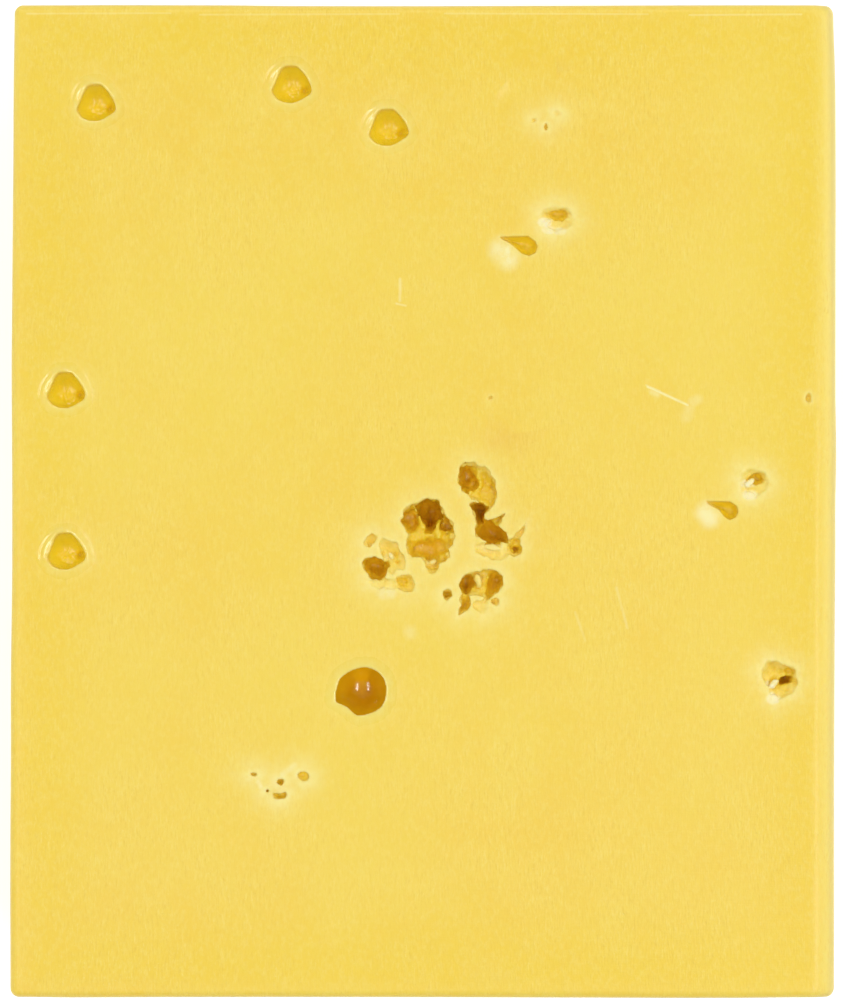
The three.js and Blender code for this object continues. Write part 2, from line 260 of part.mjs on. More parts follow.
// A gas eye: a sphere stretched to the rim's outline where it meets the face.
function eyeGeometry([, face, across, up, depth, undercut, driftX, driftY, rim]) {
  let size = 0;
  for (let i = 0; i < rim.length; i += 2) size = Math.max(size, Math.hypot(rim[i], rim[i + 1]));
  const around = size > 1.8 ? 10 : size > 1.1 ? 8 : 6;
  const down = size > 1.8 ? 6 : 5;
  const geometry = new THREE.SphereGeometry(1, around, down);
  geometry.rotateX(Math.PI / 2);
  const rz = depth / (1 + undercut);
  const dc = undercut * rz;
  const open = Math.sqrt(1 - undercut * undercut);
  const p = geometry.attributes.position;
  for (let i = 0; i < p.count; i++) {
    const x = p.getX(i), y = p.getY(i), z = p.getZ(i);
    const flat = Math.hypot(x, y);
    const a = Math.atan2(y, x);
    const r = (rimRadius(rim, a) / open) * flat;
    const h = -dc + rz * z;
    const sink = Math.max(0, -h) / depth;
    p.setXYZ(i, r * Math.cos(a) + driftX * sink, r * Math.sin(a) + driftY * sink, h);
  }
  const f = FACES[face];
  const X = new THREE.Vector3(...f.across);
  const Y = new THREE.Vector3(...f.up);
  const Z = new THREE.Vector3().crossVectors(X, Y);
  const place = new THREE.Matrix4().makeBasis(X, Y, Z);
  place.setPosition(new THREE.Vector3(...f.at).addScaledVector(X, across).addScaledVector(Y, up));
  geometry.applyMatrix4(place);
  return geometry;
}

// ---- joining and cutting ----
const wasm = await Module();
wasm.setup();

function toSolid(geometry) {
  const g = geometry.clone();
  g.deleteAttribute('normal');
  g.deleteAttribute('uv');
  const merged = mergeVertices(g, 1e-4);
  return new wasm.Manifold(new wasm.Mesh({
    numProp: 3,
    vertProperties: new Float32Array(merged.attributes.position.array),
    triVerts: new Uint32Array(merged.index.array),
  }));
}

function toGeometry(solid) {
  const mesh = solid.getMesh();
  const g = new THREE.BufferGeometry();
  g.setAttribute('position', new THREE.BufferAttribute(new Float32Array(mesh.vertProperties), 3));
  g.setIndex(new THREE.BufferAttribute(new Uint32Array(mesh.triVerts), 1));
  const merged = mergeVertices(g, 1e-3);
  merged.computeVertexNormals();
  return merged;
}

let block = toSolid(blockGeometry()).intersect(toSolid(shoulderGeometry()));
let hollows = null;
for (const eye of EYES) {
  const solid = toSolid(eyeGeometry(eye));
  hollows = hollows ? hollows.add(solid) : solid;
}
block = block.subtract(hollows);

const cheese = new THREE.Mesh(
  toGeometry(block),
  new THREE.MeshStandardMaterial({ color: COLOUR, roughness: 0.55, metalness: 0 }),
);
cheese.name = 'cheese_block';

const group = new THREE.Group();
group.add(cheese);
export default group;
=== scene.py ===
# The looks of a block of semi-hard yellow cheese. The whole block is one piece, built here as one closed skin:
# the six cut faces, their rounded edges and every hollow, with the torn curd inside the hollows as real relief.
import math
import bpy
import numpy as np
from mathutils import Matrix, Vector
from mathutils.geometry import delaunay_2d_cdt


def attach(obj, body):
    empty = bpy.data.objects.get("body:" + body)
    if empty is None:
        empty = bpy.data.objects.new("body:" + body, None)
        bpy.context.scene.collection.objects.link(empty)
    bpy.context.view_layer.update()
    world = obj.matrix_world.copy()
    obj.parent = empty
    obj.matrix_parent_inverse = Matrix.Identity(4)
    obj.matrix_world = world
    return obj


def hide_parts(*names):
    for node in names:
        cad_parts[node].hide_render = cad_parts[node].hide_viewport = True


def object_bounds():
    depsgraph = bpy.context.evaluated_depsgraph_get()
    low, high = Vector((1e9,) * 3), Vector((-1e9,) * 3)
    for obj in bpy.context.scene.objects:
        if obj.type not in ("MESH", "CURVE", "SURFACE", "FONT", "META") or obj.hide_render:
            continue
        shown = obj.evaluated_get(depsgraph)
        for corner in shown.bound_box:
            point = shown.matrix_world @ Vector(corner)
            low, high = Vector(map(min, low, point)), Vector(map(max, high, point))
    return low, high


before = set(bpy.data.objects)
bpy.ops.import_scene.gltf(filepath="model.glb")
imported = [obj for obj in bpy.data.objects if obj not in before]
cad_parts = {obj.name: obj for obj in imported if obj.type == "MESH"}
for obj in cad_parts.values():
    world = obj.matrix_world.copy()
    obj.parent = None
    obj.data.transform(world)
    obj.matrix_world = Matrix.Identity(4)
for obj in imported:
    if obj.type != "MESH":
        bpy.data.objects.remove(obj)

cad_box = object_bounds()

# ---------------------------------------------------------------- sizes, in mm
HX, HY, THICK = 50.0, 60.0, 30.0
RAD = 1.1                      # rounding of the cut edges
LATTICE = {'top': 0.15, 'bottom': 0.26, 'front': 0.24, 'back': 0.24, 'left': 0.24, 'right': 0.24}
COARSE = {'top': 1.35, 'bottom': 2.2, 'front': 1.8, 'back': 1.8, 'left': 1.8, 'right': 1.8}

# name, face, place on the face (across, up), depth, undercut, drift of the bottom, rim points
EYES = [
    ('dimple_1', 'top', -39.67, 47.89, 2.10, 0.12, 0.25, -0.10,
     [(-1.43, 1.78), (-1.69, 1.13), (-2.1, 0.14), (-2.42, -0.43), (-2.35, -0.84), (-1.69, -1.59), (-0.86, -1.92), (0.13, -1.96), (0.95, -1.67), (1.61, -1.27), (2.19, -0.93), (2.4, -0.52), (2.02, 0.55), (1.53, 1.37), (0.63, 2.36), (-0.2, 2.4), (-1.02, 2.31)]),
    ('dimple_2', 'top', -15.94, 50.14, 2.10, 0.12, 0.25, -0.10,
     [(-1.41, 1.84), (-1.67, 1.18), (-2.1, 0.18), (-2.43, -0.41), (-2.37, -0.82), (-1.72, -1.6), (-0.89, -1.94), (0.09, -2.01), (0.92, -1.73), (1.59, -1.32), (2.17, -0.99), (2.38, -0.58), (2.03, 0.52), (1.55, 1.37), (0.66, 2.39), (-0.17, 2.44), (-0.99, 2.37)]),
    ('dimple_3', 'top', -4.25, 44.96, 2.10, 0.12, 0.25, -0.10,
     [(-1.49, 1.75), (-1.72, 1.08), (-2.09, 0.07), (-2.4, -0.52), (-2.31, -0.93), (-1.62, -1.66), (-0.78, -1.96), (0.21, -1.98), (1.02, -1.66), (1.67, -1.22), (2.23, -0.86), (2.42, -0.44), (2.01, 0.63), (1.49, 1.44), (0.55, 2.41), (-0.28, 2.41), (-1.1, 2.3)]),
    ('dimple_4', 'top', -43.27, 13.23, 2.10, 0.12, 0.25, -0.10,
     [(-1.37, 1.78), (-1.62, 1.14), (-2.04, 0.18), (-2.36, -0.38), (-2.3, -0.78), (-1.67, -1.53), (-0.87, -1.86), (0.09, -1.92), (0.89, -1.65), (1.54, -1.26), (2.1, -0.94), (2.31, -0.54), (1.97, 0.51), (1.5, 1.32), (0.64, 2.31), (-0.16, 2.36), (-0.96, 2.29)]),
    ('dimple_5', 'top', -43.27, -6.20, 2.10, 0.12, 0.25, -0.10,
     [(-1.43, 1.76), (-1.67, 1.1), (-2.05, 0.11), (-2.36, -0.47), (-2.28, -0.88), (-1.62, -1.62), (-0.8, -1.93), (0.17, -1.96), (0.96, -1.66), (1.61, -1.24), (2.17, -0.89), (2.36, -0.48), (1.98, 0.59), (1.48, 1.4), (0.58, 2.37), (-0.24, 2.39), (-1.04, 2.3)]),
    ('round_eye', 'top', -7.51, -22.95, 5.60, 0.62, 0.10, 0.05,
     [(-2.28, -1.46), (-1.58, -1.81), (-1.05, -2.34), (-0.52, -2.78), (0.54, -2.64), (1.6, -2.25), (2.31, -1.72), (2.75, -0.83), (2.87, 0.4), (2.58, 1.54), (2.05, 2.17), (1.42, 2.6), (0.54, 2.83), (-0.16, 2.78), (-1.05, 2.52), (-1.84, 2.07), (-2.54, 1.46), (-2.81, 0.58), (-3.02, -0.3), (-2.99, -1.19)]),
    ('slash_1', 'top', 12.13, 30.96, 1.70, 0.10, 0.15, 0.00,
     [(-2.17, 0.48), (-1.14, -0.3), (-0.36, -1), (0.54, -1.34), (1.33, -0.95), (1.53, -0.3), (1.33, 0.35), (0.42, 1), (-1.65, 0.98), (-3.59, 0.94)]),
    ('slash_2', 'top', 36.71, -1.08, 1.70, 0.10, 0.15, 0.00,
     [(-2.17, 0.65), (-1.11, 0.12), (-0.47, -0.72), (0.17, -1.14), (0.9, -0.83), (1.23, -0.19), (1.01, 0.54), (0.17, 1.07), (-3.01, 1.1)]),
    ('torn_1', 'top', 16.05, 34.16, 0.55, -0.20, 0.00, 0.00,
     [(-1.89, -0.77), (-1.42, -1.67), (-0.39, -1.93), (0.92, -1.42), (1.82, -0.9), (2.07, -0.12), (1.82, 0.65), (1.3, 1.17), (0.4, 1.35), (-0.64, 1.35), (-1.69, 1.04), (-2.07, 0.65)]),
    ('torn_1_pit', 'top', 16.11, 34.58, 1.50, -0.05, 0.10, 0.10,
     [(-1.14, -0.33), (-0.3, -0.6), (0.54, -0.84), (1.39, -0.42), (1.57, 0.18), (0.9, 0.63), (-0.18, 0.71), (-1.08, 0.52), (-1.69, 0.06)]),
    ('torn_2', 'top', 39.96, 2.11, 0.55, -0.20, 0.00, 0.00,
     [(-1.71, -0.95), (-1.18, -1.8), (-0.12, -1.8), (0.94, -1.06), (1.67, -0.53), (1.67, 0.31), (1.14, 1.27), (0.3, 1.7), (-0.76, 1.7), (-1.6, 1.48), (-1.82, 0.95)]),
    ('torn_2_pit', 'top', 40.14, 2.73, 1.50, -0.05, 0.15, 0.05,
     [(-1.27, -0.36), (-0.72, -0.57), (0.06, -0.96), (0.84, -0.7), (1.14, -0.08), (0.78, 0.58), (-0.18, 0.7), (-1.08, 0.36), (-1.63, -0.08)]),
    ('torn_3', 'top', 43.04, -21.51, 1.05, -0.15, 0.10, 0.10,
     [(-2.34, 1.25), (-2.25, 0.27), (-1.76, -0.57), (-1.27, -1.06), (-1.27, -1.71), (-0.6, -2.71), (0.22, -2.29), (1.37, -1.71), (1.87, -1.22), (2.36, -0.4), (2.07, 0.51), (1.95, 1.25), (1.2, 1.66), (0.22, 1.83), (-0.6, 2.37), (-1.59, 2.24), (-2, 1.58)]),
    ('torn_3_pit', 'top', 43.76, -21.63, 3.20, 0.10, 0.10, 0.10,
     [(-0.12, -0.6), (0.72, -0.36), (0.92, 0.45), (0.18, 0.53), (-0.48, 0.45), (-0.9, -0.72)]),
    ('torn_3_lobe', 'top', 42.19, -20.12, 0.95, -0.05, 0.00, 0.00,
     [(-0.72, -0.66), (0.24, -0.9), (1.08, -0.54), (0.96, 0.18), (0.24, 0.78), (-0.66, 0.66), (-1.08, 0.06)]),
    ('torn_3_right', 'top', 44.30, -20.48, 1.30, 0.05, 0.00, 0.00,
     [(-0.78, -0.42), (0.06, -0.9), (0.66, -0.54), (0.54, 0.12), (-0.18, 0.48), (-0.9, 0.18)]),
    ('c1_bowl', 'top', 0.63, -3.80, 1.35, 0.05, 0.00, 0.00,
     [(-1.54, 3.67), (-2.75, 3.07), (-3.05, 2.47), (-3.49, 1.49), (-3.05, 0.66), (-2.52, -0.24), (-2.89, -1.14), (-2.66, -2.35), (-1.99, -2.95), (-0.94, -3.01), (0.12, -3.13), (1.08, -3.25), (2.07, -3.31), (2.53, -2.8), (2.37, -2.05), (2.98, -1.45), (3.13, -0.39), (2.9, 0.89), (2.37, 1.72), (1.55, 2.54), (1.23, 3.25), (1.17, 3.83), (-0.34, 4.05)]),
    ('c1_deep', 'top', 0.81, -1.75, 5.20, 0.30, 0.10, 0.30,
     [(-1.45, 0), (-0.78, -1.08), (-0.42, -2.05), (0.12, -2.23), (0.78, -1.2), (1.51, -0.24), (1.39, 0.6), (0.9, 1.69), (-0.54, 1.93), (-1.87, 1.2)]),
    ('c1_left', 'top', -1.54, -2.23, 2.90, 0.30, -0.25, 0.00,
     [(-0.24, -1.33), (0.84, -1.57), (1.45, -0.72), (1.08, 0.72), (0.12, 1.69), (-0.78, 1.08), (-1.2, -0.06)]),
    ('c1_right', 'top', 2.55, -2.95, 2.80, 0.30, 0.25, 0.00,
     [(-0.96, -0.6), (-0.24, -1.27), (0.66, -0.9), (1.02, -0.12), (0.66, 0.66), (-0.24, 1.57), (-0.96, 0.72)]),
    ('c1_low', 'top', 0.75, -5.36, 2.50, 0.25, -0.10, -0.35,
     [(-2.83, -0.36), (-2.05, -1.2), (-0.6, -1.33), (0.96, -1.2), (2.05, -0.72), (2.8, 0), (2.89, 0.96), (1.81, 1.2), (0.24, 1.14), (-1.2, 1.08), (-2.71, 0.72)]),
    ('c1_tail', 'top', 1.41, -7.17, 1.40, 0.05, 0.00, 0.00,
     [(-1.27, -0.78), (-0.54, -1.45), (0.1, -1.27), (0.54, -0.36), (1.33, 0), (1.63, 1.08), (0.06, 0.96), (-1.75, 0.6)]),
    ('c2_bowl', 'top', 6.53, 1.99, 1.35, 0.00, 0.00, 0.00,
     [(-1.93, -0.72), (-0.78, -1.45), (0.36, -2.41), (1.33, -2.65), (2.05, -1.81), (2.17, -0.36), (1.75, 0.96), (0.84, 2.17), (-0.48, 2.71), (-1.57, 2.59), (-2.29, 1.69)]),
    ('c2_top', 'top', 5.45, 2.71, 3.10, 0.25, -0.15, 0.10,
     [(-1.24, -0.6), (-0.84, -1.45), (-0.12, -1.81), (0.6, -1.45), (1.2, -1.2), (1.45, -0.54), (1.2, 0), (0.72, 0.6), (0.36, 1.45), (-0.36, 1.99), (-1.24, 1.08)]),
    ('c2_right', 'top', 7.61, 1.63, 1.70, 0.10, 0.10, 0.00,
     [(-1.08, 1.45), (-0.6, 0.48), (-1.08, -0.24), (-1.75, -1.2), (-0.72, -1.81), (0.12, -2.53), (0.9, -2.05), (1.2, -0.96), (1.04, 0.24), (0.66, 1.23), (0, 1.69), (-0.24, 2.33), (-1.08, 2.67), (-1.57, 2.41)]),
    ('c2_neck', 'top', 6.83, -1.27, 3.80, 0.20, 0.00, 0.00,
     [(-0.66, -0.6), (-0.3, -2.17), (0.66, -2.17), (0.42, -0.96), (0.54, -0.24), (1.08, 0.48), (0.42, 1.08), (-0.78, 1.2), (-1.27, 0.84)]),
    ('c2_low', 'top', 8.04, -3.67, 3.60, 0.30, 0.20, -0.10,
     [(-1.57, -0.54), (-0.78, -1.08), (-0.06, -1.49), (0.9, -1.2), (1.99, -1.33), (1.87, -0.12), (1.02, 0.72), (-0.06, 1.51), (-0.78, 1.63), (-1.57, 1.08), (-1.75, 0.36)]),
    ('c2_spike', 'top', 8.82, -2.41, 1.40, 0.00, 0.00, 0.00,
     [(-0.96, -0.54), (-0.12, -0.78), (0.36, -0.3), (0.96, 0.94), (-1.08, 0.18)]),
    ('c2_corner', 'top', 11.02, -5.42, 1.30, 0.05, 0.00, 0.00,
     [(-0.86, -0.78), (-0.16, -1.14), (0.69, -0.9), (0.93, -0.18), (0.63, 1.02), (-0.28, 1.14), (-0.94, 0.66)]),
    ('c2_corner_pit', 'top', 11.11, -5.84, 2.00, 0.10, 0.00, 0.00,
     [(-0.36, -0.42), (0.3, -0.42), (0.6, 0), (0.36, 0.48), (-0.36, 0.54), (-0.6, 0.12)]),
    ('c2_spike_2', 'top', 11.53, -3.92, 0.60, -0.15, 0.00, 0.00,
     [(0.18, -0.6), (0.54, 0.24), (0.9, 1.45), (-0.84, -0.6)]),
    ('c2_shelf', 'top', 8.10, -5.78, 0.60, -0.25, 0.00, 0.00,
     [(-1.93, -0.36), (-0.96, -0.9), (0.72, -1.27), (1.99, -0.78), (1.99, 0.66), (0.84, 0.96), (-0.84, 1.02), (-1.99, 0.42)]),
    ('c3_eye', 'top', -5.88, -8.01, 3.00, 0.30, 0.10, 0.15,
     [(-1.08, -0.54), (-0.3, -1.33), (0.6, -1.45), (1.33, -0.84), (1.45, 0.24), (0.72, 1.08), (-0.16, 1.45), (-1.08, 1.08), (-1.51, 0.6)]),
    ('c3_top', 'top', -6.39, -4.64, 0.80, -0.05, 0.00, 0.00,
     [(-0.1, -0.84), (0.63, -0.36), (0.75, 0.36), (0.14, 0.84), (-0.52, 0.36), (-0.76, -0.42)]),
    ('c3_groove', 'top', -3.89, -6.33, 0.95, -0.05, 0.00, 0.00,
     [(-1.39, 0.24), (-0.96, -0.72), (-0.6, -1.93), (0.18, -2.65), (0.66, -1.93), (1.45, -2.05), (1.66, -0.96), (1.14, 0.24), (0.42, 1.39), (-0.9, 1.93), (-1.57, 1.45)]),
    ('c3_low', 'top', -2.20, -9.94, 1.00, 0.00, 0.00, 0.00,
     [(-0.84, -0.6), (0.06, -1.08), (0.84, -0.9), (1.14, -0.06), (0.78, 0.84), (-0.24, 1.08), (-1.14, 0.72)]),
    ('c3_shelf', 'top', -4.80, -9.82, 0.45, -0.30, 0.00, 0.00,
     [(-1.69, -0.48), (-0.48, -0.66), (0.96, -0.84), (2.17, -0.6), (1.93, 0.36), (0.72, 0.6), (-0.48, 0.42), (-1.93, 0.24)]),
    ('c4_bowl', 'top', 6.89, -9.82, 1.20, 0.00, 0.00, 0.00,
     [(-1.81, -1.63), (-0.6, -1.33), (0.84, -1.75), (2.05, -1.27), (2.71, -0.24), (2.53, 0.96), (1.57, 1.63), (0.12, 1.57), (-1.33, 1.33), (-2.29, 0.66), (-2.65, -0.36)]),
    ('c4_left', 'top', 5.08, -9.94, 2.90, 0.20, 0.00, 0.00,
     [(-0.58, -0.96), (0, -1.51), (0.48, -0.96), (0.84, -0.24), (1.14, 0.84), (0.66, 1.33), (0, 1.08), (-0.54, 0.66), (-0.9, -0.12)]),
    ('c4_mid', 'top', 6.77, -9.70, 0.90, -0.10, 0.00, 0.00,
     [(-1.08, -0.6), (-0.48, -1.27), (0.6, -1.2), (1.08, -0.12), (1.08, 1.39), (0.12, 1.14), (-0.84, 0.6)]),
    ('c4_right', 'top', 8.46, -9.94, 2.50, 0.20, 0.15, 0.00,
     [(-0.84, -0.36), (-1.27, -1.33), (-0.84, -1.87), (-0.12, -1.45), (0.6, -0.84), (1.11, 0), (1.05, 0.96), (0.24, 1.65), (-0.72, 1.33)]),
    ('c4_tail', 'top', 5.14, -12.17, 1.60, 0.05, 0.00, 0.00,
     [(-0.66, 0.42), (-0.54, -0.36), (-0.9, -0.9), (-1.02, -1.63), (0, -1.08), (0.6, -0.36), (0.36, 0.54), (0.3, 1.33), (-0.6, 1.02)]),
    ('c4_pit', 'top', 2.86, -11.34, 1.40, 0.10, 0.00, 0.00,
     [(0.45, 0.48), (0, 0.68), (-0.53, 0.56), (-0.6, 0), (-0.5, -0.53), (0, -0.74), (0.42, -0.45), (0.75, 0)]),
    ('c4_pit_2', 'top', 8.58, -12.17, 0.70, -0.05, 0.00, 0.00,
     [(0.41, 0.38), (0, 0.5), (-0.38, 0.35), (-0.58, 0), (-0.37, -0.34), (0, -0.52), (0.4, -0.37), (0.53, 0)]),
    ('c4_shelf', 'top', 6.89, -12.59, 0.50, -0.30, 0.00, 0.00,
     [(0.81, 0.71), (0, 0.84), (-0.72, 0.63), (-1.12, 0), (-0.64, -0.56), (0, -0.97), (0.73, -0.65), (0.93, 0)]),
    ('crumb_pit_1', 'top', -17.30, -33.86, 1.10, 0.00, 0.00, 0.00,
     [(0.31, 0.35), (0, 0.39), (-0.27, 0.3), (-0.43, 0), (-0.23, -0.26), (0, -0.48), (0.28, -0.31), (0.34, 0)]),
    ('crumb_crescent', 'top', -17.39, -35.42, 1.10, 0.05, 0.00, 0.00,
     [(-0.6, -0.34), (-0.06, -0.54), (0.6, -0.4), (0.96, 0), (0.78, 0.42), (0.18, 0.2), (-0.42, 0.18), (-0.9, 0.36)]),
    ('crumb_pit_2', 'top', -14.55, -33.11, 0.90, -0.05, 0.00, 0.00,
     [(0.61, 0.18), (0.19, 0.52), (-0.37, 0.57), (-0.67, 0.24), (-0.65, -0.19), (-0.19, -0.52), (0.35, -0.53), (0.73, -0.27)]),
    ('crumb_pit_3', 'top', -20.46, -32.89, 0.60, -0.05, 0.00, 0.00,
     [(0.32, 0.12), (0.02, 0.2), (-0.31, 0.18), (-0.42, 0.04), (-0.32, -0.12), (-0.02, -0.21), (0.28, -0.16), (0.45, -0.04)]),
    ('crumb_pit_4', 'top', -18.89, -34.90, 0.50, -0.10, 0.00, 0.00,
     [(0.18, 0.14), (0, 0.17), (-0.19, 0.15), (-0.23, 0), (-0.16, -0.13), (0, -0.22), (0.15, -0.12), (0.25, 0)]),
    ('pin_1', 'top', 14.72, 45.18, 1.00, 0.00, 0.00, 0.00,
     [(0.13, 0.32), (0, 0.54), (-0.13, 0.31), (-0.21, 0), (-0.16, -0.37), (0, -0.42), (0.16, -0.38), (0.2, 0)]),
    ('pin_2', 'top', 13.28, 45.96, 0.50, -0.10, 0.00, 0.00,
     [(0.1, 0.21), (-0.12, 0.17), (-0.24, -0.03), (-0.26, -0.18), (-0.13, -0.27), (0.09, -0.13), (0.28, 0.03), (0.28, 0.19)]),
    ('pin_3', 'top', 16.05, 46.81, 0.35, -0.30, 0.00, 0.00,
     [(0.4, 0.17), (0.05, 0.29), (-0.31, 0.29), (-0.48, 0.09), (-0.35, -0.15), (-0.06, -0.33), (0.29, -0.27), (0.46, -0.08)]),
    ('pin_4', 'top', 8.01, 12.49, 0.55, 0.00, 0.00, 0.00,
     [(0.14, 0.22), (-0.1, 0.15), (-0.26, -0.06), (-0.32, -0.22), (-0.18, -0.27), (0.08, -0.11), (0.32, 0.07), (0.32, 0.22)]),
    ('nick', 'top', 46.45, 12.47, 0.90, 0.00, 0.00, 0.00,
     [(0.25, 0.46), (0, 0.68), (-0.2, 0.38), (-0.38, 0), (-0.23, -0.43), (0, -0.57), (0.27, -0.51), (0.29, 0)]),
    ('front_eye_1', 'front', -31.50, 5.50, 2.20, 0.15, 0.20, -0.10,
     [(2.51, 0.91), (1.42, 1.78), (0.04, 2.1), (-1.38, 1.58), (-2.33, 0.47), (-2.42, -0.88), (-1.56, -1.95), (-0.04, -2), (1.34, -1.53), (2.42, -0.49)]),
    ('front_eye_2', 'front', -6.80, -4.60, 4.60, 0.50, 0.00, 0.10,
     [(2.75, -0.48), (2.56, 1.09), (1.27, 2.21), (-0.46, 2.63), (-2.16, 2.02), (-2.89, 0.51), (-2.34, -1), (-1.31, -2.27), (0.48, -2.75), (2.1, -1.96)]),
    ('front_eye_3', 'front', 18.60, 3.80, 1.90, 0.10, 0.10, 0.00,
     [(1.72, 1.21), (0.84, 1.87), (-0.44, 1.84), (-1.66, 1.09), (-1.92, -0.14), (-1.71, -1.2), (-0.86, -1.92), (0.46, -1.92), (1.5, -0.98), (2.08, 0.16)]),
    ('front_eye_4', 'front', 22.90, 1.20, 1.60, 0.10, 0.00, 0.00,
     [(1.39, -0.5), (1.36, 0.4), (0.37, 1), (-0.68, 1.02), (-1.5, 0.55), (-1.28, -0.37), (-0.37, -1.01), (0.72, -1.07)]),
    ('front_slit', 'front', 37.40, -6.90, 1.10, 0.00, 0.00, 0.00,
     [(1.81, 0.96), (0.92, 0.9), (-0.26, 0.48), (-1.42, -0.3), (-1.68, -0.89), (-1.02, -0.99), (0.24, -0.45), (1.4, 0.29)]),
    ('back_eye_1', 'back', -27.20, -3.40, 2.30, 0.15, 0.20, -0.10,
     [(2.14, -1.23), (2.35, 0.06), (1.83, 1.48), (0.35, 2.21), (-1.22, 2.25), (-2.21, 1.27), (-2.37, -0.07), (-1.68, -1.36), (-0.39, -2.43), (1.19, -2.19)]),
    ('back_eye_2', 'back', 9.30, 5.90, 1.80, 0.10, 0.00, 0.00,
     [(2.01, 0.35), (1.42, 1.33), (0.32, 1.85), (-0.92, 1.6), (-1.75, 0.75), (-1.81, -0.32), (-1.48, -1.39), (-0.33, -1.91), (0.9, -1.56), (1.64, -0.7)]),
    ('back_eye_3', 'back', 13.00, 3.00, 2.40, 0.30, 0.00, 0.00,
     [(1.31, 1.1), (0.35, 1.56), (-0.79, 0.95), (-1.44, -0.07), (-1.4, -1.18), (-0.33, -1.47), (0.81, -0.96), (1.5, 0.07)]),
    ('back_eye_4', 'back', 34.80, -6.20, 2.90, 0.30, 0.00, 0.10,
     [(2.58, 0), (2, 1.34), (0.7, 1.98), (-0.8, 2.28), (-2.14, 1.43), (-2.52, 0), (-1.89, -1.26), (-0.78, -2.21), (0.76, -2.15), (2.1, -1.41)]),
    ('left_eye_1', 'left', -38.50, 4.20, 2.10, 0.12, 0.20, -0.10,
     [(2.11, 0.57), (1.5, 1.7), (0.18, 2.32), (-1.33, 1.94), (-2.1, 0.71), (-2.3, -0.62), (-1.5, -1.7), (-0.18, -2.24), (1.3, -1.89), (2.31, -0.78)]),
    ('left_eye_2', 'left', -12.20, -6.30, 2.00, 0.12, 0.10, 0.00,
     [(2.01, -0.94), (2.23, 0.28), (1.39, 1.36), (0.14, 1.87), (-1.12, 1.74), (-1.95, 0.91), (-2.13, -0.27), (-1.47, -1.44), (-0.14, -1.89), (1.05, -1.62)]),
    ('left_eye_3', 'left', 17.10, 3.30, 4.40, 0.50, 0.00, 0.10,
     [(2.95, 0.26), (2.06, 1.61), (0.66, 2.45), (-1.02, 2.19), (-2.38, 1.26), (-2.91, -0.25), (-2.26, -1.77), (-0.6, -2.24), (1.03, -2.21), (2.46, -1.31)]),
    ('left_eye_4', 'left', 20.90, -0.40, 1.90, 0.10, 0.00, 0.00,
     [(1.44, -1.12), (1.48, -0.11), (0.71, 0.91), (-0.53, 1.59), (-1.38, 1.08), (-1.42, 0.11), (-0.77, -0.99), (0.48, -1.46)]),
    ('left_slit', 'left', 43.60, -2.80, 1.00, 0.00, 0.00, 0.00,
     [(1.98, -0.42), (1.65, -0.06), (0.78, 0.35), (-0.57, 0.63), (-1.52, 0.61), (-1.93, 0.41), (-1.78, 0.07), (-0.76, -0.34), (0.54, -0.61), (1.6, -0.64)]),
    ('right_eye_1', 'right', -41.30, -5.00, 2.00, 0.12, 0.20, -0.10,
     [(1.97, 1.13), (1.13, 2.14), (-0.33, 1.99), (-1.48, 1.22), (-2.13, 0.09), (-2.09, -1.21), (-1.02, -1.95), (0.35, -2.07), (1.53, -1.26), (2.09, -0.08)]),
    ('right_eye_2', 'right', -15.90, 4.40, 2.60, 0.25, 0.00, 0.00,
     [(2.63, -0.71), (2.34, 0.8), (1.27, 1.85), (-0.19, 2.49), (-1.67, 1.91), (-2.61, 0.7), (-2.41, -0.82), (-1.33, -1.94), (0.17, -2.23), (1.79, -2.05)]),
    ('right_eye_3', 'right', 11.40, -3.10, 1.80, 0.10, 0.00, 0.00,
     [(1.71, 0.76), (1.1, 1.44), (-0.02, 1.56), (-1.17, 1.07), (-1.9, 0.15), (-1.84, -0.82), (-1.03, -1.35), (0.02, -1.54), (1.23, -1.13), (1.88, -0.15)]),
    ('right_eye_4', 'right', 14.70, -5.50, 2.30, 0.30, 0.00, 0.00,
     [(1.51, 0), (1.04, 0.83), (0, 1.28), (-1.04, 0.83), (-1.38, 0), (-1.15, -0.92), (-0, -1.21), (1.01, -0.81)]),
    ('right_eye_5', 'right', 38.90, 2.70, 2.20, 0.15, 0.10, 0.10,
     [(2.01, -1.41), (2.38, -0.11), (1.81, 1.25), (0.48, 1.85), (-0.88, 2.11), (-2.07, 1.45), (-2.41, 0.11), (-1.65, -1.14), (-0.54, -2.06), (0.85, -2.06)]),
    ('base_eye_1', 'bottom', -34.20, 37.50, 2.20, 0.12, 0.20, -0.10,
     [(2.69, 0.72), (1.62, 1.71), (0.22, 2.08), (-1.35, 1.85), (-2.54, 0.75), (-2.47, -0.66), (-1.67, -1.76), (-0.23, -2.18), (1.3, -1.79), (2.43, -0.72)]),
    ('base_eye_2', 'bottom', 12.80, 43.10, 2.30, 0.12, 0.20, -0.10,
     [(2.14, -0.78), (2.29, 0.51), (1.51, 1.78), (-0.01, 2.32), (-1.42, 1.86), (-2.35, 0.85), (-2.24, -0.5), (-1.44, -1.7), (0.01, -2.36), (1.51, -1.98)]),
    ('base_eye_3', 'bottom', 36.90, 18.40, 5.20, 0.55, 0.00, 0.10,
     [(2.88, 0), (2.51, 1.7), (0.88, 2.53), (-0.91, 2.61), (-2.25, 1.52), (-2.83, 0), (-2.37, -1.6), (-0.98, -2.81), (0.85, -2.45), (2.21, -1.5)]),
    ('base_eye_4', 'bottom', -21.50, -8.90, 1.90, 0.10, 0.10, 0.00,
     [(1.93, 1.12), (1, 1.89), (-0.31, 1.88), (-1.44, 1.18), (-2.03, 0.07), (-2.06, -1.19), (-1.01, -1.91), (0.3, -1.79), (1.41, -1.16), (2.2, -0.08)]),
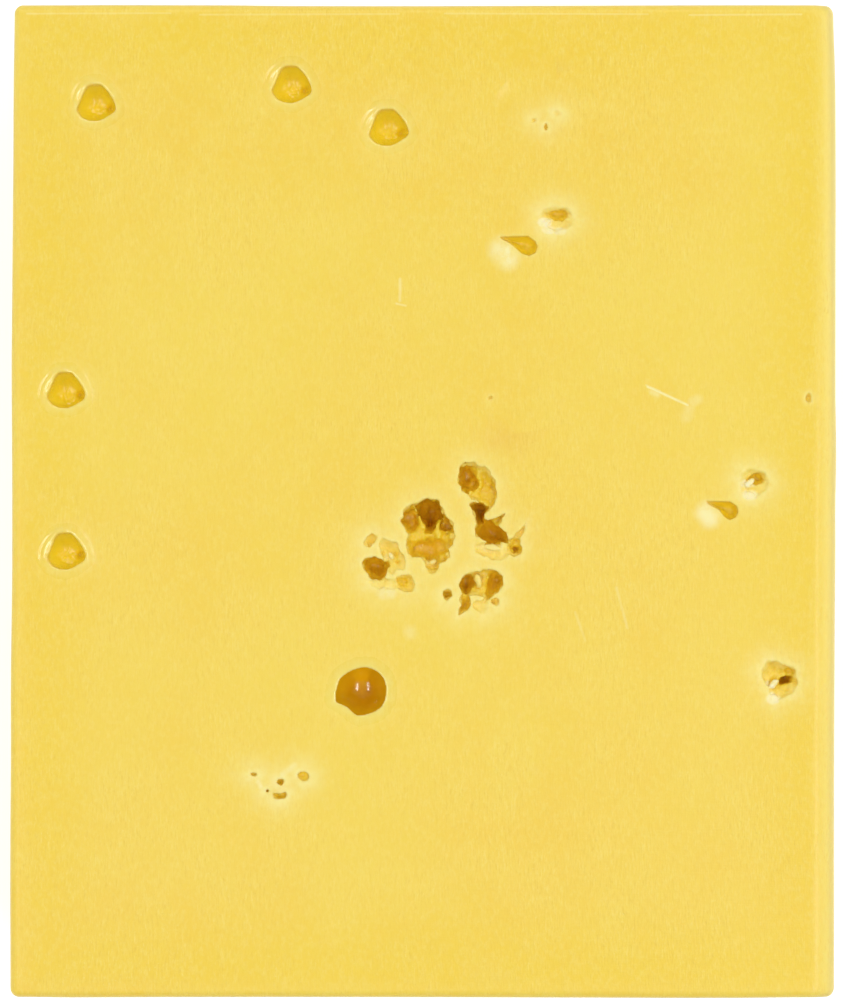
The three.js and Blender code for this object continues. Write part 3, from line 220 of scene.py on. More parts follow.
    ('base_eye_5', 'bottom', -39.40, -33.00, 2.10, 0.12, 0.20, -0.10,
     [(2.13, -1.23), (2.2, 0.05), (1.51, 1.21), (0.31, 2.05), (-1.19, 2.17), (-2.03, 1.17), (-2.13, -0.04), (-1.58, -1.27), (-0.32, -2.1), (1.1, -2)]),
    ('base_eye_6', 'bottom', 6.90, -38.20, 2.20, 0.20, 0.00, 0.00,
     [(1.77, 1.48), (0.76, 1.93), (-0.58, 1.95), (-1.72, 0.86), (-2.09, -0.42), (-1.73, -1.45), (-0.84, -2.14), (0.53, -1.78), (1.74, -0.87), (2.16, 0.44)]),
    ('base_eye_7', 'bottom', 10.40, -41.20, 3.40, 0.35, 0.00, 0.00,
     [(2.02, 0.36), (1.54, 1.23), (0.37, 1.53), (-0.8, 1.21), (-1.75, 0.59), (-1.97, -0.35), (-1.48, -1.18), (-0.37, -1.55), (0.85, -1.29), (1.59, -0.53)]),
    ('base_eye_8', 'bottom', 13.60, -37.40, 1.90, 0.10, 0.00, 0.00,
     [(1.46, -1.02), (1.51, 0.12), (0.78, 1.11), (-0.42, 1.51), (-1.45, 1.02), (-1.55, -0.12), (-0.75, -1.08), (0.43, -1.54)]),
    ('base_eye_9', 'bottom', 33.30, -44.60, 2.40, 0.20, 0.00, 0.00,
     [(2.35, 0), (2.03, 1.36), (0.75, 2.12), (-0.8, 2.26), (-2.1, 1.41), (-2.53, 0), (-1.81, -1.21), (-0.79, -2.22), (0.82, -2.31), (2.08, -1.39)]),
    ('base_slit', 'bottom', -12.60, 19.70, 1.10, 0.00, 0.00, 0.00,
     [(1.65, -1.49), (1.59, -1), (0.91, -0.09), (-0.19, 0.92), (-1.08, 1.38), (-1.62, 1.46), (-1.65, 1.04), (-0.94, 0.09), (0.17, -0.84), (1.16, -1.47)]),
]

# Curd left standing inside a hollow: place across and up, height of its middle below the face,
# half sizes across, up and out, turn in degrees, and how pale it is.
FLAKES = [
    (42.35, -22.00, -0.30, 0.78, 0.34, 0.30, 42, 1.0),
    (42.20, -23.75, -0.26, 0.62, 0.46, 0.24, 10, 0.95),
    (14.60, 33.65, -0.22, 0.66, 0.34, 0.22, 22, 1.0),
    (15.10, 32.75, -0.24, 0.62, 0.28, 0.22, -22, 0.85),
    (16.40, 32.60, -0.20, 0.50, 0.24, 0.20, 12, 0.7),
    (39.25, 2.18, -0.22, 0.80, 0.30, 0.24, 40, 1.0),
    (39.35, 0.80, -0.24, 0.66, 0.40, 0.22, -8, 0.9),
    (6.55, -9.60, -0.70, 0.42, 0.80, 0.40, 12, 0.15),
    (1.00, -7.30, -0.80, 0.46, 0.32, 0.40, 20, 0.35),
    (8.13, -5.53, -0.40, 1.20, 0.36, 0.30, -8, 0.25),
    (-4.42, -11.06, -0.25, 1.00, 0.50, 0.26, -18, 0.35),
    (-3.90, -6.60, -0.30, 0.60, 0.24, 0.26, -50, 0.35),
]

# Pale smears and scratches on the top face, and a painted highlight line along its back brink: two ends, half width,
# strength.
# pale scuffs on the upper face and a painted highlight along the back brink: two ends, half width, strength
SMEARS_AND_BRINK_HIGHLIGHT = [
    (26.96, 13.84, 31.82, 11.61, 0.15, 0.85),
    (26.77, 14.04, 28.46, 13.31, 0.09, 0.55),
    (27.50, 13.20, 28.20, 12.90, 0.36, 0.45),
    (32.40, 12.00, 33.00, 12.30, 0.55, 0.42),
    (31.90, 11.10, 31.60, 10.20, 0.65, 0.32),
    (-2.87, 26.80, -2.87, 24.20, 0.17, 0.50),
    (-3.30, 23.85, -2.20, 23.60, 0.12, 0.45),
    (23.22, -10.36, 24.52, -15.24, 0.15, 0.30),
    (18.24, -13.35, 19.44, -16.73, 0.15, 0.25),
    (9.20, 30.30, 10.10, 29.30, 1.30, 0.80),
    (10.08, 30.50, 10.10, 30.15, 0.50, 1.0),
    (10.20, 29.20, 10.25, 28.95, 0.55, 1.0),
    (34.00, -1.35, 34.45, -1.95, 1.15, 0.95),
    (-1.68, -15.64, -1.58, -15.94, 0.70, 0.35),
    (-19.95, -33.80, -19.70, -34.30, 0.28, 0.70),
    (-17.00, -32.90, -15.60, -31.80, 0.35, 0.40),
    # the last four rows are a painted highlight: a thin pale line just inside the back brink, where the edge catches
    # the light
    (-47.80, 58.78, -30.50, 58.84, 0.10, 0.34),
    (-27.00, 58.66, -3.00, 58.74, 0.11, 0.28),
    (2.50, 58.80, 27.00, 58.72, 0.10, 0.32),
    (32.00, 58.62, 45.50, 58.70, 0.11, 0.36),
]
WARM = [(8.78, 7.77, 1.4, 0.5), (43.04, -20.52, 1.1, 0.4), (44.04, -21.12, 0.8, 0.4), (-17.32, -34.76, 0.9, 0.5)]

LEFT_SIDE = [(-56, .03), (-48, .0), (-39, .02), (-31, .09), (-22, .07), (-9, .24), (3, .24), (16, .17), (29, .27), (41, .38), (50, .41), (58, .54)]
RIGHT_SIDE = [(-56, .28), (-48, .28), (-35, .28), (-22, .21), (-14, .17), (-5, .09), (-1, .14), (4, .0), (8, .01), (12, .11), (24, .1), (37, .04), (50, .08), (54, .18), (58, .35)]
TOP_SIDE = [(-47, .03), (-38, .0), (-23, .03), (-18, .11), (-9, .13), (1, .13), (15, .09), (25, .05), (37, .02), (47, .02)]
BOTTOM_SIDE = [(-47, .12), (-43, .05), (-33, .1), (-18, .12), (1, .1), (15, .05), (30, .0), (39, .0), (44, .07)]


# ---------------------------------------------------------------- repeatable noise
def hashed(i, j, k, seed):
    n = (i * 374761393 + j * 668265263 + k * 1274126177 + seed * 1013904223) & 0xffffffff
    n = ((n ^ (n >> 13)) * 1274126177) & 0xffffffff
    n = ((n ^ (n >> 15)) * 2246822519) & 0xffffffff
    return ((n ^ (n >> 16)) & 0xffffff) / float(0xffffff)


def vnoise(p, seed):
    """Smooth noise, -1 to 1, one feature per unit."""
    f = np.floor(p)
    t = p - f
    f = f.astype(np.int64)
    t = t * t * t * (t * (t * 6 - 15) + 10)
    out = 0.0
    for dx in (0, 1):
        wx = t[..., 0] if dx else 1 - t[..., 0]
        for dy in (0, 1):
            wy = t[..., 1] if dy else 1 - t[..., 1]
            for dz in (0, 1):
                wz = t[..., 2] if dz else 1 - t[..., 2]
                out = out + wx * wy * wz * hashed(f[..., 0] + dx, f[..., 1] + dy, f[..., 2] + dz, seed)
    return out * 2 - 1


def worley(p, seed):
    """Distance to the nearest of one scattered point per unit cell."""
    f = np.floor(p).astype(np.int64)
    best = np.full(p.shape[:-1], 9.0)
    for dx in (-1, 0, 1):
        for dy in (-1, 0, 1):
            for dz in (-1, 0, 1):
                c = f + (dx, dy, dz)
                d = 0.0
                for a in range(3):
                    q = c[..., a] + 0.15 + 0.7 * hashed(c[..., 0], c[..., 1], c[..., 2], seed + 7 * a) - p[..., a]
                    d = d + q * q
                best = np.minimum(best, d)
    return np.sqrt(best)


def smooth(a, b, x):
    t = np.clip((x - a) / (b - a), 0, 1)
    return t * t * (3 - 2 * t)


# ---------------------------------------------------------------- hollows
def rim_table(rim, soften):
    n = 360
    out = np.zeros(n)
    for k in range(n):
        a = -math.pi + 2 * math.pi * k / n
        c, s = math.cos(a), math.sin(a)
        best = 0.15
        for i in range(len(rim)):
            (ax, ay), (bx, by) = rim[i], rim[(i + 1) % len(rim)]
            dx, dy = bx - ax, by - ay
            den = c * dy - s * dx
            if abs(den) < 1e-9:
                continue
            r = (ax * dy - ay * dx) / den
            t = (r * c - ax) / dx if abs(dx) > abs(dy) else (r * s - ay) / dy
            if r > 0 and -1e-6 < t < 1 + 1e-6:
                best = max(best, r)
        out[k] = best
    w = max(1, int(soften))
    ker = np.hanning(2 * w + 3)[1:-1]
    ker /= ker.sum()
    return np.convolve(np.concatenate([out[-w:], out, out[:w]]), ker, 'valid')


ROUGH = (('dimple', 0.012, 9), ('round', 0.010, 6), ('slash', 0.04, 5), ('torn', 0.11, 4), ('c1', 0.20, 3), ('c2', 0.19, 3),
         ('c3', 0.17, 3), ('c4', 0.18, 3), ('crumb', 0.10, 4), ('pin', 0.03, 4), ('nick', 0.03, 4))


HALO = (('dimple', 0.50, 1.1), ('round', 0.55, 1.0), ('slash', 0.30, 0.6), ('torn', 1.0, 1.35), ('c1', 0.80, 1.3), ('c2', 0.80, 1.2),
        ('c3', 0.95, 1.5), ('c4', 0.95, 1.5), ('crumb', 1.0, 1.5), ('pin', 0.8, 1.3), ('pin_4', 0.3, 0.5), ('nick', 0.6, 0.5))


class Eye:
    def __init__(self, row):
        self.name, self.face, self.u, self.v, self.depth, self.under, self.du, self.dv, rim = row
        self.rough, soften = 0.012, 6
        self.halo, self.spread = 0.35, 0.8
        for key, k_, w_ in HALO:
            if self.name.startswith(key):
                self.halo, self.spread = k_, w_
        for key, amp, so in ROUGH:
            if self.name.startswith(key):
                self.rough, soften = amp, so
        self.table = rim_table(rim, soften)
        if self.name.startswith(('pin', 'nick')):
            self.depth *= 0.65
        self.rz = self.depth / (1 + self.under)
        self.dc = self.under * self.rz
        self.open = math.sqrt(1 - self.under ** 2)
        self.mean = float(self.table.mean())
        self.calm = 0.75 if self.name.startswith(('dimple', 'round')) else 0.3
        self.reach = float(self.table.max()) / self.open
        self.mouth = float(self.table.max())

    def dist(self, U, V, W):
        d = -W
        s = np.clip(d, 0, None) / self.depth
        x = U - self.u - self.du * s
        y = V - self.v - self.dv * s
        rho = np.hypot(x, y)
        k = (np.arctan2(y, x) + math.pi) / (2 * math.pi) * 360
        k0 = np.floor(k).astype(np.int64)
        t = k - k0
        R = self.table[k0 % 360] * (1 - t) + self.table[(k0 + 1) % 360] * t
        R = (R + (self.mean - R) * self.calm * smooth(0.0, 0.7, s)) / self.open
        a = rho / R
        b = (d - self.dc) / self.rz
        q0 = np.sqrt(a * a + b * b)
        q1 = np.sqrt((a / R) ** 2 + (b / self.rz) ** 2)
        return q0 * (q0 - 1) / np.maximum(q1, 1e-5)


# each round dimple has a small deeper pocket at its lower right
for k, (n_, f_, u_, v_, d_, *_r) in enumerate([r for r in EYES if r[0].startswith('dimple')]):
    EYES.append(('dimple_pocket_%d' % (k + 1), 'top', u_ + 1.42, v_ - 0.28, 2.45, 0.0, 0.0, 0.0,
                 [(0.66, 0.2), (0.3, 0.72), (-0.35, 0.62), (-0.62, -0.05), (-0.3, -0.6), (0.35, -0.5), (0.66, -0.15)]))
EYE_LIST = [Eye(r) for r in EYES]


def smin(a, b, k):
    h = np.clip(k - np.abs(a - b), 0, None) / k
    return np.minimum(a, b) - h * h * k * 0.25


def cavity(eyes, U, V, W, detail=True):
    """Distance to the hollows, below 0 inside them."""
    C = np.full(U.shape, 5.0)
    amp = np.zeros(U.shape)
    for e in eyes:
        pad = 1.6
        m = (np.abs(U - e.u) < e.reach + pad + 0.4) & (np.abs(V - e.v) < e.reach + pad + 0.4) & (W > -e.depth - pad)
        if not m.any():
            continue
        c = e.dist(U[m], V[m], W[m])
        old = C[m]
        amp[m] = np.where(c < old, e.rough, amp[m])
        C[m] = smin(old, c, 0.55 if e.name.startswith('dimple') else 0.14)
    if not detail:
        return C
    near = (np.abs(C) < 0.5) & (amp > 0)
    if near.any():
        P = np.stack([U[near], V[near], W[near]], -1)
        a = amp[near]
        sunk = smooth(0.02, 0.5, -P[:, 2])
        n1 = vnoise(P / 0.85, 11)
        n2 = vnoise(P / 0.4, 12)
        g = worley(P / (0.95, 0.95, 0.7), 13) - 0.52
        rough = smooth(0.03, 0.07, a)
        n3 = vnoise(P / (0.62, 0.62, 0.9), 14)
        base = np.maximum(0.35 + 0.65 * sunk, 0.85 * rough)
        C[near] += a * (base * (0.9 * n1 + 0.5 * n2 + 0.8 * rough * n3) + rough * (0.3 + 0.7 * sunk) * 2.2 * g)
        for e in eyes:
            if e.name.startswith('dimple_') and e.name[7].isdigit():
                r = np.hypot(P[:, 0] - e.u, P[:, 1] - e.v + 0.85)
                k = smooth(1.25, 0.5, r)
                C[near] += k * (0.075 * n2 + 0.05 * vnoise(P / 0.30, 15))
    for fu, fv, fw, ra, rb, rc, turn, _ in FLAKES:
        m = (np.abs(U - fu) < 2.2) & (np.abs(V - fv) < 2.2) & (W > -3.0)
        if not m.any():
            continue
        x, y, z = U[m] - fu, V[m] - fv, W[m] - fw
        c, s = math.cos(math.radians(turn)), math.sin(math.radians(turn))
        a, b = x * c + y * s, -x * s + y * c
        # each flake stands on a short foot, so it never floats
        z = np.where(z < 0, z * 0.32, z)
        p = np.stack([U[m], V[m], W[m]], -1)
        q0 = np.sqrt((a / ra) ** 2 + (b / rb) ** 2 + (z / rc) ** 2)
        f = (q0 - 1) * min(ra, rb, rc) + 0.10 * vnoise(p / 0.45, 21)
        C[m] = np.maximum(C[m], -f)
    return C


# ---------------------------------------------------------------- one fine window
def surface_net(F, u0, v0, w0, h):
    nx, ny, nz = F.shape
    S = F < 0
    cnt = np.zeros((nx - 1, ny - 1, nz - 1), np.int8)
    for a in (0, 1):
        for b in (0, 1):
            for c in (0, 1):
                cnt += S[a:nx - 1 + a, b:ny - 1 + b, c:nz - 1 + c]
    cells = np.argwhere((cnt > 0) & (cnt < 8))
    idx = np.full(cnt.shape, -1, np.int64)
    idx[tuple(cells.T)] = np.arange(len(cells))
    acc = np.zeros((len(cells), 3))
    num = np.zeros(len(cells))
    for ax in range(3):
        others = [k for k in range(3) if k != ax]
        for p in (0, 1):
            for q in (0, 1):
                A = np.zeros(3, int)
                A[others[0]], A[others[1]] = p, q
                B = A.copy()
                B[ax] = 1
                fa = F[tuple((cells + A).T)]
                fb = F[tuple((cells + B).T)]
                m = (fa < 0) != (fb < 0)
                t = np.where(m, fa / np.where(m, fa - fb, 1), 0)
                acc[m] += A + t[m, None] * (B - A)
                num[m] += 1
    pos = (cells + acc / num[:, None]) * h + (u0, v0, w0)
    quads = []
    for ax in range(3):
        o1, o2 = [(1, 2), (2, 0), (0, 1)][ax]
        sl_a = [slice(None)] * 3
        sl_b = [slice(None)] * 3
        sl_a[ax] = slice(0, F.shape[ax] - 1)
        sl_b[ax] = slice(1, None)
        for o in (o1, o2):
            sl_a[o] = slice(1, F.shape[o] - 1)
            sl_b[o] = slice(1, F.shape[o] - 1)
        sa, sb = S[tuple(sl_a)], S[tuple(sl_b)]
        e = np.argwhere(sa != sb)
        e[:, o1] += 1
        e[:, o2] += 1
        flip = ~S[tuple(e.T)]          # solid on the far side: turn the face round
        c = []
        for d1, d2 in ((-1, -1), (0, -1), (0, 0), (-1, 0)):
            k = e.copy()
            k[:, o1] += d1
            k[:, o2] += d2
            c.append(idx[tuple(k.T)])
        c = np.stack(c, 1)
        c[flip] = c[flip][:, ::-1]
        quads.append((c, ax, e))
    return pos, quads


def face_window(eyes, h, keep):
    """Fine skin of a group of hollows. Returns vertices (across, up, out), quads, and marks keep's squares."""
    lo_u = min(e.u - e.reach - abs(e.du) for e in eyes) - 1.1
    hi_u = max(e.u + e.reach + abs(e.du) for e in eyes) + 1.1
    lo_v = min(e.v - e.reach - abs(e.dv) for e in eyes) - 1.1
    hi_v = max(e.v + e.reach + abs(e.dv) for e in eyes) + 1.1
    i0, i1 = math.floor(lo_u / h), math.ceil(hi_u / h)
    j0, j1 = math.floor(lo_v / h), math.ceil(hi_v / h)
    depth = max(e.depth for e in eyes) + 0.8
    kz = math.ceil(depth / h)
    # the face itself lies half way between two layers of samples
    w0 = -(kz + 0.5) * h
    U = np.arange(i0, i1 + 1) * h
    V = np.arange(j0, j1 + 1) * h
    W = w0 + np.arange(kz + 3) * h
    UU, VV, WW = np.meshgrid(U, V, W, indexing='ij')
    C = cavity(eyes, UU, VV, WW)
    k = 0.16
    a, b = WW, -C
    hh = np.clip(k - np.abs(a - b), 0, None) / k
    F = np.maximum(a, b) + hh * hh * k * 0.25
    F[:, :, -1] = np.maximum(F[:, :, -1], 0.01)
    # no face of the lattice may be cut corner to corner, so no edge of the skin serves four faces
    for _ in range(12):
        n = 0
        S = F < 0
        for ax, bx in ((0, 1), (1, 2), (0, 2)):
            def part(p, q):
                sl = [slice(None)] * 3
                sl[ax] = slice(p, F.shape[ax] - 1 + p)
                sl[bx] = slice(q, F.shape[bx] - 1 + q)
                return tuple(sl)
            a, b, c, d = S[part(0, 0)], S[part(1, 0)], S[part(0, 1)], S[part(1, 1)]
            for m, (p, q), (r, t) in ((a & d & ~b & ~c, (0, 0), (1, 1)), (b & c & ~a & ~d, (1, 0), (0, 1))):
                if m.any():
                    n += int(m.sum())
                    v = F[part(p, q)]
                    v[m] = 0.02 * h
        if not n:
            break
    # squares where the face is not exactly flat, and two more all round
    T = (np.abs(F[:, :, -3] + 0.5 * h) > 1e-9) | (np.abs(F[:, :, -2] - 0.5 * h) > 1e-9)
    for _ in range(2):
        G = T.copy()
        G[1:] |= T[:-1]
        G[:-1] |= T[1:]
        G[:, 1:] |= T[:, :-1]
        G[:, :-1] |= T[:, 1:]
        T = G
    # no two squares may meet at a corner only
    for _ in range(6):
        a, b, c, d = T[:-1, :-1], T[1:, :-1], T[:-1, 1:], T[1:, 1:]
        bad = ((a & d & ~b & ~c) | (b & c & ~a & ~d))
        if not bad.any():
            break
        i, j = np.nonzero(bad)
        for di in (0, 1):
            for dj in (0, 1):
                T[i + di, j + dj] = True
    pos, quads = surface_net(F, U[0], V[0], w0, h)
    # settle the points exactly on the surface, below the level of the face
    low = np.nonzero(pos[:, 2] < -0.22)[0]

    def level(q):
        c = cavity(eyes, q[:, 0], q[:, 1], q[:, 2])
        t = np.clip(0.16 - np.abs(q[:, 2] + c), 0, None) / 0.16
        return np.maximum(q[:, 2], -c) + t * t * 0.04

    for _ in range(2):
        q = pos[low]
        f = level(q)
        g = np.stack([level(q + d) - f for d in 0.02 * np.eye(3)], 1) / 0.02
        step = -g * (f / np.maximum((g * g).sum(1), 0.15))[:, None]
        size = np.linalg.norm(step, axis=1)
        step *= (np.minimum(size, 0.3 * h) / np.maximum(size, 1e-9))[:, None]
        pos[low] = q + step
    out = []
    for c, ax, e in quads:
        if ax == 2:
            flat = np.abs(pos[c][:, :, 2]).max(1) < 1e-5
            drop = flat & ~T[e[:, 0], e[:, 1]]
            c = c[~drop]
        out.append(c)
    Q = np.concatenate(out)
    Q = Q[(Q >= 0).all(1)]
    for i, j in np.argwhere(T):
        keep.add((i + i0, j + j0))
    return pos, Q


# ---------------------------------------------------------------- the six faces
FACES = {
    'top': ((0, 0, THICK), (1, 0, 0), (0, 1, 0), HX, HY),
    'bottom': ((0, 0, 0), (1, 0, 0), (0, -1, 0), HX, HY),
    'front': ((0, -HY, THICK / 2), (1, 0, 0), (0, 0, 1), HX, THICK / 2),
    'back': ((0, HY, THICK / 2), (-1, 0, 0), (0, 0, 1), HX, THICK / 2),
    'left': ((-HX, 0, THICK / 2), (0, -1, 0), (0, 0, 1), HY, THICK / 2),
    'right': ((HX, 0, THICK / 2), (0, 1, 0), (0, 0, 1), HY, THICK / 2),
}
BAND = [math.tan(math.radians(a)) * RAD for a in (0, 11.25, 22.5, 33.75, 45)]


def stations(half):
    inner = half - RAD
    n = max(2, round(2 * inner / 1.3))
    mid = np.linspace(-inner, inner, n + 1)[1:-1]
    ends = np.array([inner + b for b in BAND])
    return np.concatenate([-ends[::-1], mid, ends])


def to_block(name, uvw):
    at, ac, up, _, _ = FACES[name]
    ac, up = np.array(ac, float), np.array(up, float)
    return np.array(at, float) + uvw[:, :1] * ac + uvw[:, 1:2] * up + uvw[:, 2:3] * np.cross(ac, up)


def build_face(name):
    h = LATTICE[name]
    A, B = FACES[name][3], FACES[name][4]
    eyes = [e for e in EYE_LIST if e.face == name]
    # group the hollows whose windows meet
    groups = []
    for e in eyes:
        hit = [g for g in groups if any(abs(e.u - o.u) < e.reach + o.reach + 2.4 and abs(e.v - o.v) < e.reach + o.reach + 2.4 for o in g)]
        new = [e]
        for g in hit:
            new += g
            groups.remove(g)
        groups.append(new)
    keep = set()
    parts = []
    for g in groups:
        parts.append(face_window(g, h, keep))
    # borders of the fine squares
    K = np.array(sorted(keep)) if keep else np.zeros((0, 2), int)
    lines = set()
    for i, j in keep:
        for (ni, nj), (a, b) in (((i + 1, j), ((i + 1, j), (i + 1, j + 1))), ((i - 1, j), ((i, j), (i, j + 1))),
                                 ((i, j + 1), ((i, j + 1), (i + 1, j + 1))), ((i, j - 1), ((i, j), (i + 1, j)))):
            if (ni, nj) not in keep:
                lines.add((a, b))
    corner = {}
    pts, segs = [], []
    for a, b in sorted(lines):
        for c in (a, b):
            if c not in corner:
                corner[c] = len(pts)
                pts.append(((c[0] - 0.5) * h, (c[1] - 0.5) * h))
        segs.append((corner[a], corner[b]))
    rim = np.array(pts) if pts else np.zeros((0, 2))
    # rounded-edge rows
    su, sv = stations(A), stations(B)
    band = []
    for u in su:
        for v in sv:
            if abs(u) >= A - RAD - 1e-9 or abs(v) >= B - RAD - 1e-9:
                band.append((u, v))
    # graded points between
    lure = list(rim)
    lure_size = [h] * len(lure)
    if name == 'top':
        for v in np.arange(-HY + 2, HY - 2, 0.6):
            lure += [(HX - 1.8, v), (HX - 2.9, v)]
            lure_size += [0.40, 0.50]
    sizes = [0.18, 0.26, 0.38, 0.56, 0.82, COARSE[name], 99]
    free = []
    thin = []
    if name == 'top':
        # finer ground where the face folds down into the round eyes
        for e in eyes:
            if e.name.startswith('dimple_') and e.name[7].isdigit():
                for r in np.arange(2.30, 3.75, 0.11):
                    for a in np.radians(np.arange(124, 192, 4.5)):
                        thin.append((e.u + r * math.cos(a), e.v + r * math.sin(a)))
        lure += thin[::3]
        lure_size += [0.17] * len(thin[::3])
    rng = np.random.default_rng(5)
    lure = np.array(lure)
    lure_size = np.array(lure_size)
    thin_np = np.array(thin) if thin else None
    for lv in range(6):
        s = min(sizes[lv], COARSE[name])
        nx, ny = int(2 * A / s) + 2, int(2 * B / (s * 0.866)) + 2
        X = np.arange(nx)[:, None] * s - A + np.zeros((1, ny))
        Y = np.arange(ny)[None, :] * s * 0.866 - B + np.zeros((nx, 1))
        X = X + (np.arange(ny)[None, :] % 2) * s / 2
        P = np.stack([X.ravel(), Y.ravel()], 1)
        P += rng.uniform(-0.18, 0.18, P.shape) * s
        P = P[(np.abs(P[:, 0]) < A - RAD - 0.35) & (np.abs(P[:, 1]) < B - RAD - 0.35)]
        need = np.full(len(P), 50.0)
        if len(lure):
            if lv < 5:           # only points near a rim can need this size
                top_d = (sizes[lv + 1] - 0.05) / 0.42 + 0.3
                cell = {}
                g = 1.0
                for q in lure[:: 4]:
                    cell[(int(q[0] // g), int(q[1] // g))] = 1
                r = int(top_d // g) + 1
                near = set()
                for (a, b) in cell:
                    for da in range(-r, r + 1):
                        for db in range(-r, r + 1):
                            near.add((a + da, b + db))
                kk = [(int(a), int(b)) in near for a, b in np.floor(P / g)]
                P = P[np.array(kk, bool)]
            need = np.full(len(P), 50.0)
            for k in range(0, len(P), 2000):
                d = np.sqrt(((P[k:k + 2000, None, :] - lure[None]) ** 2).sum(2)) * 0.42 + lure_size[None]
                need[k:k + 2000] = d.min(1)
        ok = (need < sizes[lv + 1]) & (need >= sizes[lv]) if lv < 5 else (need >= sizes[lv] * 0.98)
        P = P[ok]
        if len(P) and keep:
            ij = np.floor(P / h + 0.5).astype(int)
            P = P[np.array([(i, j) not in keep for i, j in ij], bool)]
        if thin_np is not None and len(P):
            P = P[np.array([np.hypot(*(thin_np - q).T).min() > 0.14 for q in P], bool)]
        free += [tuple(p) for p in P]
    if keep:
        thin = [q for q in thin if (math.floor(q[0] / h + 0.5), math.floor(q[1] / h + 0.5)) not in keep]
    allp = pts + band + thin + free
    res = delaunay_2d_cdt([Vector(p) for p in allp], segs, [], 0, 1e-6, True)
    vs = np.array([allp[o[0]] if o else (v[0], v[1]) for v, o in zip(res[0], res[3])])
    tris = np.array([f for f in res[2] if len(f) == 3])
    mid = vs[tris].mean(1)
    if keep:
        ij = np.floor(mid / h + 0.5).astype(int)
        tris = tris[np.array([(i, j) not in keep for i, j in ij], bool)]
    uvw = np.concatenate([vs, np.zeros((len(vs), 1))], 1)
    parts.append((uvw, tris))
    V, Fc, base = [], [], 0
    for p, q in parts:
        V.append(p)
        for f in q:
            Fc.append(tuple(int(k) + base for k in f))
        base += len(p)
    V = np.concatenate(V)
    # colour guides, worked out on the flat face
    d0 = cavity(eyes, V[:, 0], V[:, 1], np.zeros(len(V)), False) if eyes else np.full(len(V), 5.0)
    depth = np.clip(-V[:, 2], 0, None)
    return to_block(name, V), Fc, d0, depth, np.stack([V[:, 0], V[:, 1], V[:, 2]], 1)


def build_block():
    Vs, Fs, D0, DEP, FACE, UV = [], [], [], [], [], []
    base = 0
    for n, name in enumerate(FACES):
        V, F, d0, dep, uv = build_face(name)
        Vs.append(V)
        Fs += [tuple(k + base for k in f) for f in F]
        D0.append(d0)
        DEP.append(dep)
        FACE.append(np.full(len(V), n))
        UV.append(uv)
        base += len(V)
    V = np.concatenate(Vs)
    D0, DEP, FACE, UV = map(np.concatenate, (D0, DEP, FACE, UV))
    # round the edges: push every point of the plain box in to the rounded one
    lo = np.array([-HX + RAD, -HY + RAD, RAD])
    hi = np.array([HX - RAD, HY - RAD, THICK - RAD])
    skin = DEP < 1e-6
    c = np.clip(V, lo, hi)
    off = V - c
    L = np.linalg.norm(off, axis=1)
    m = skin & (L > RAD + 1e-9)
    V[m] = c[m] + off[m] / L[m, None] * RAD
    # weld
    key = np.round(V / 1.9371e-4).astype(np.int64)
    _, first, inv = np.unique(key, axis=0, return_index=True, return_inverse=True)
    inv = inv.ravel()
    F = []
    for f in Fs:
        g = []
        for k in f:
            q = int(inv[k])
            if q not in g:
                g.append(q)
        if len(g) > 2:
            F.append(tuple(g))
    return V[first], F, D0[first], DEP[first], FACE[first], UV[first]


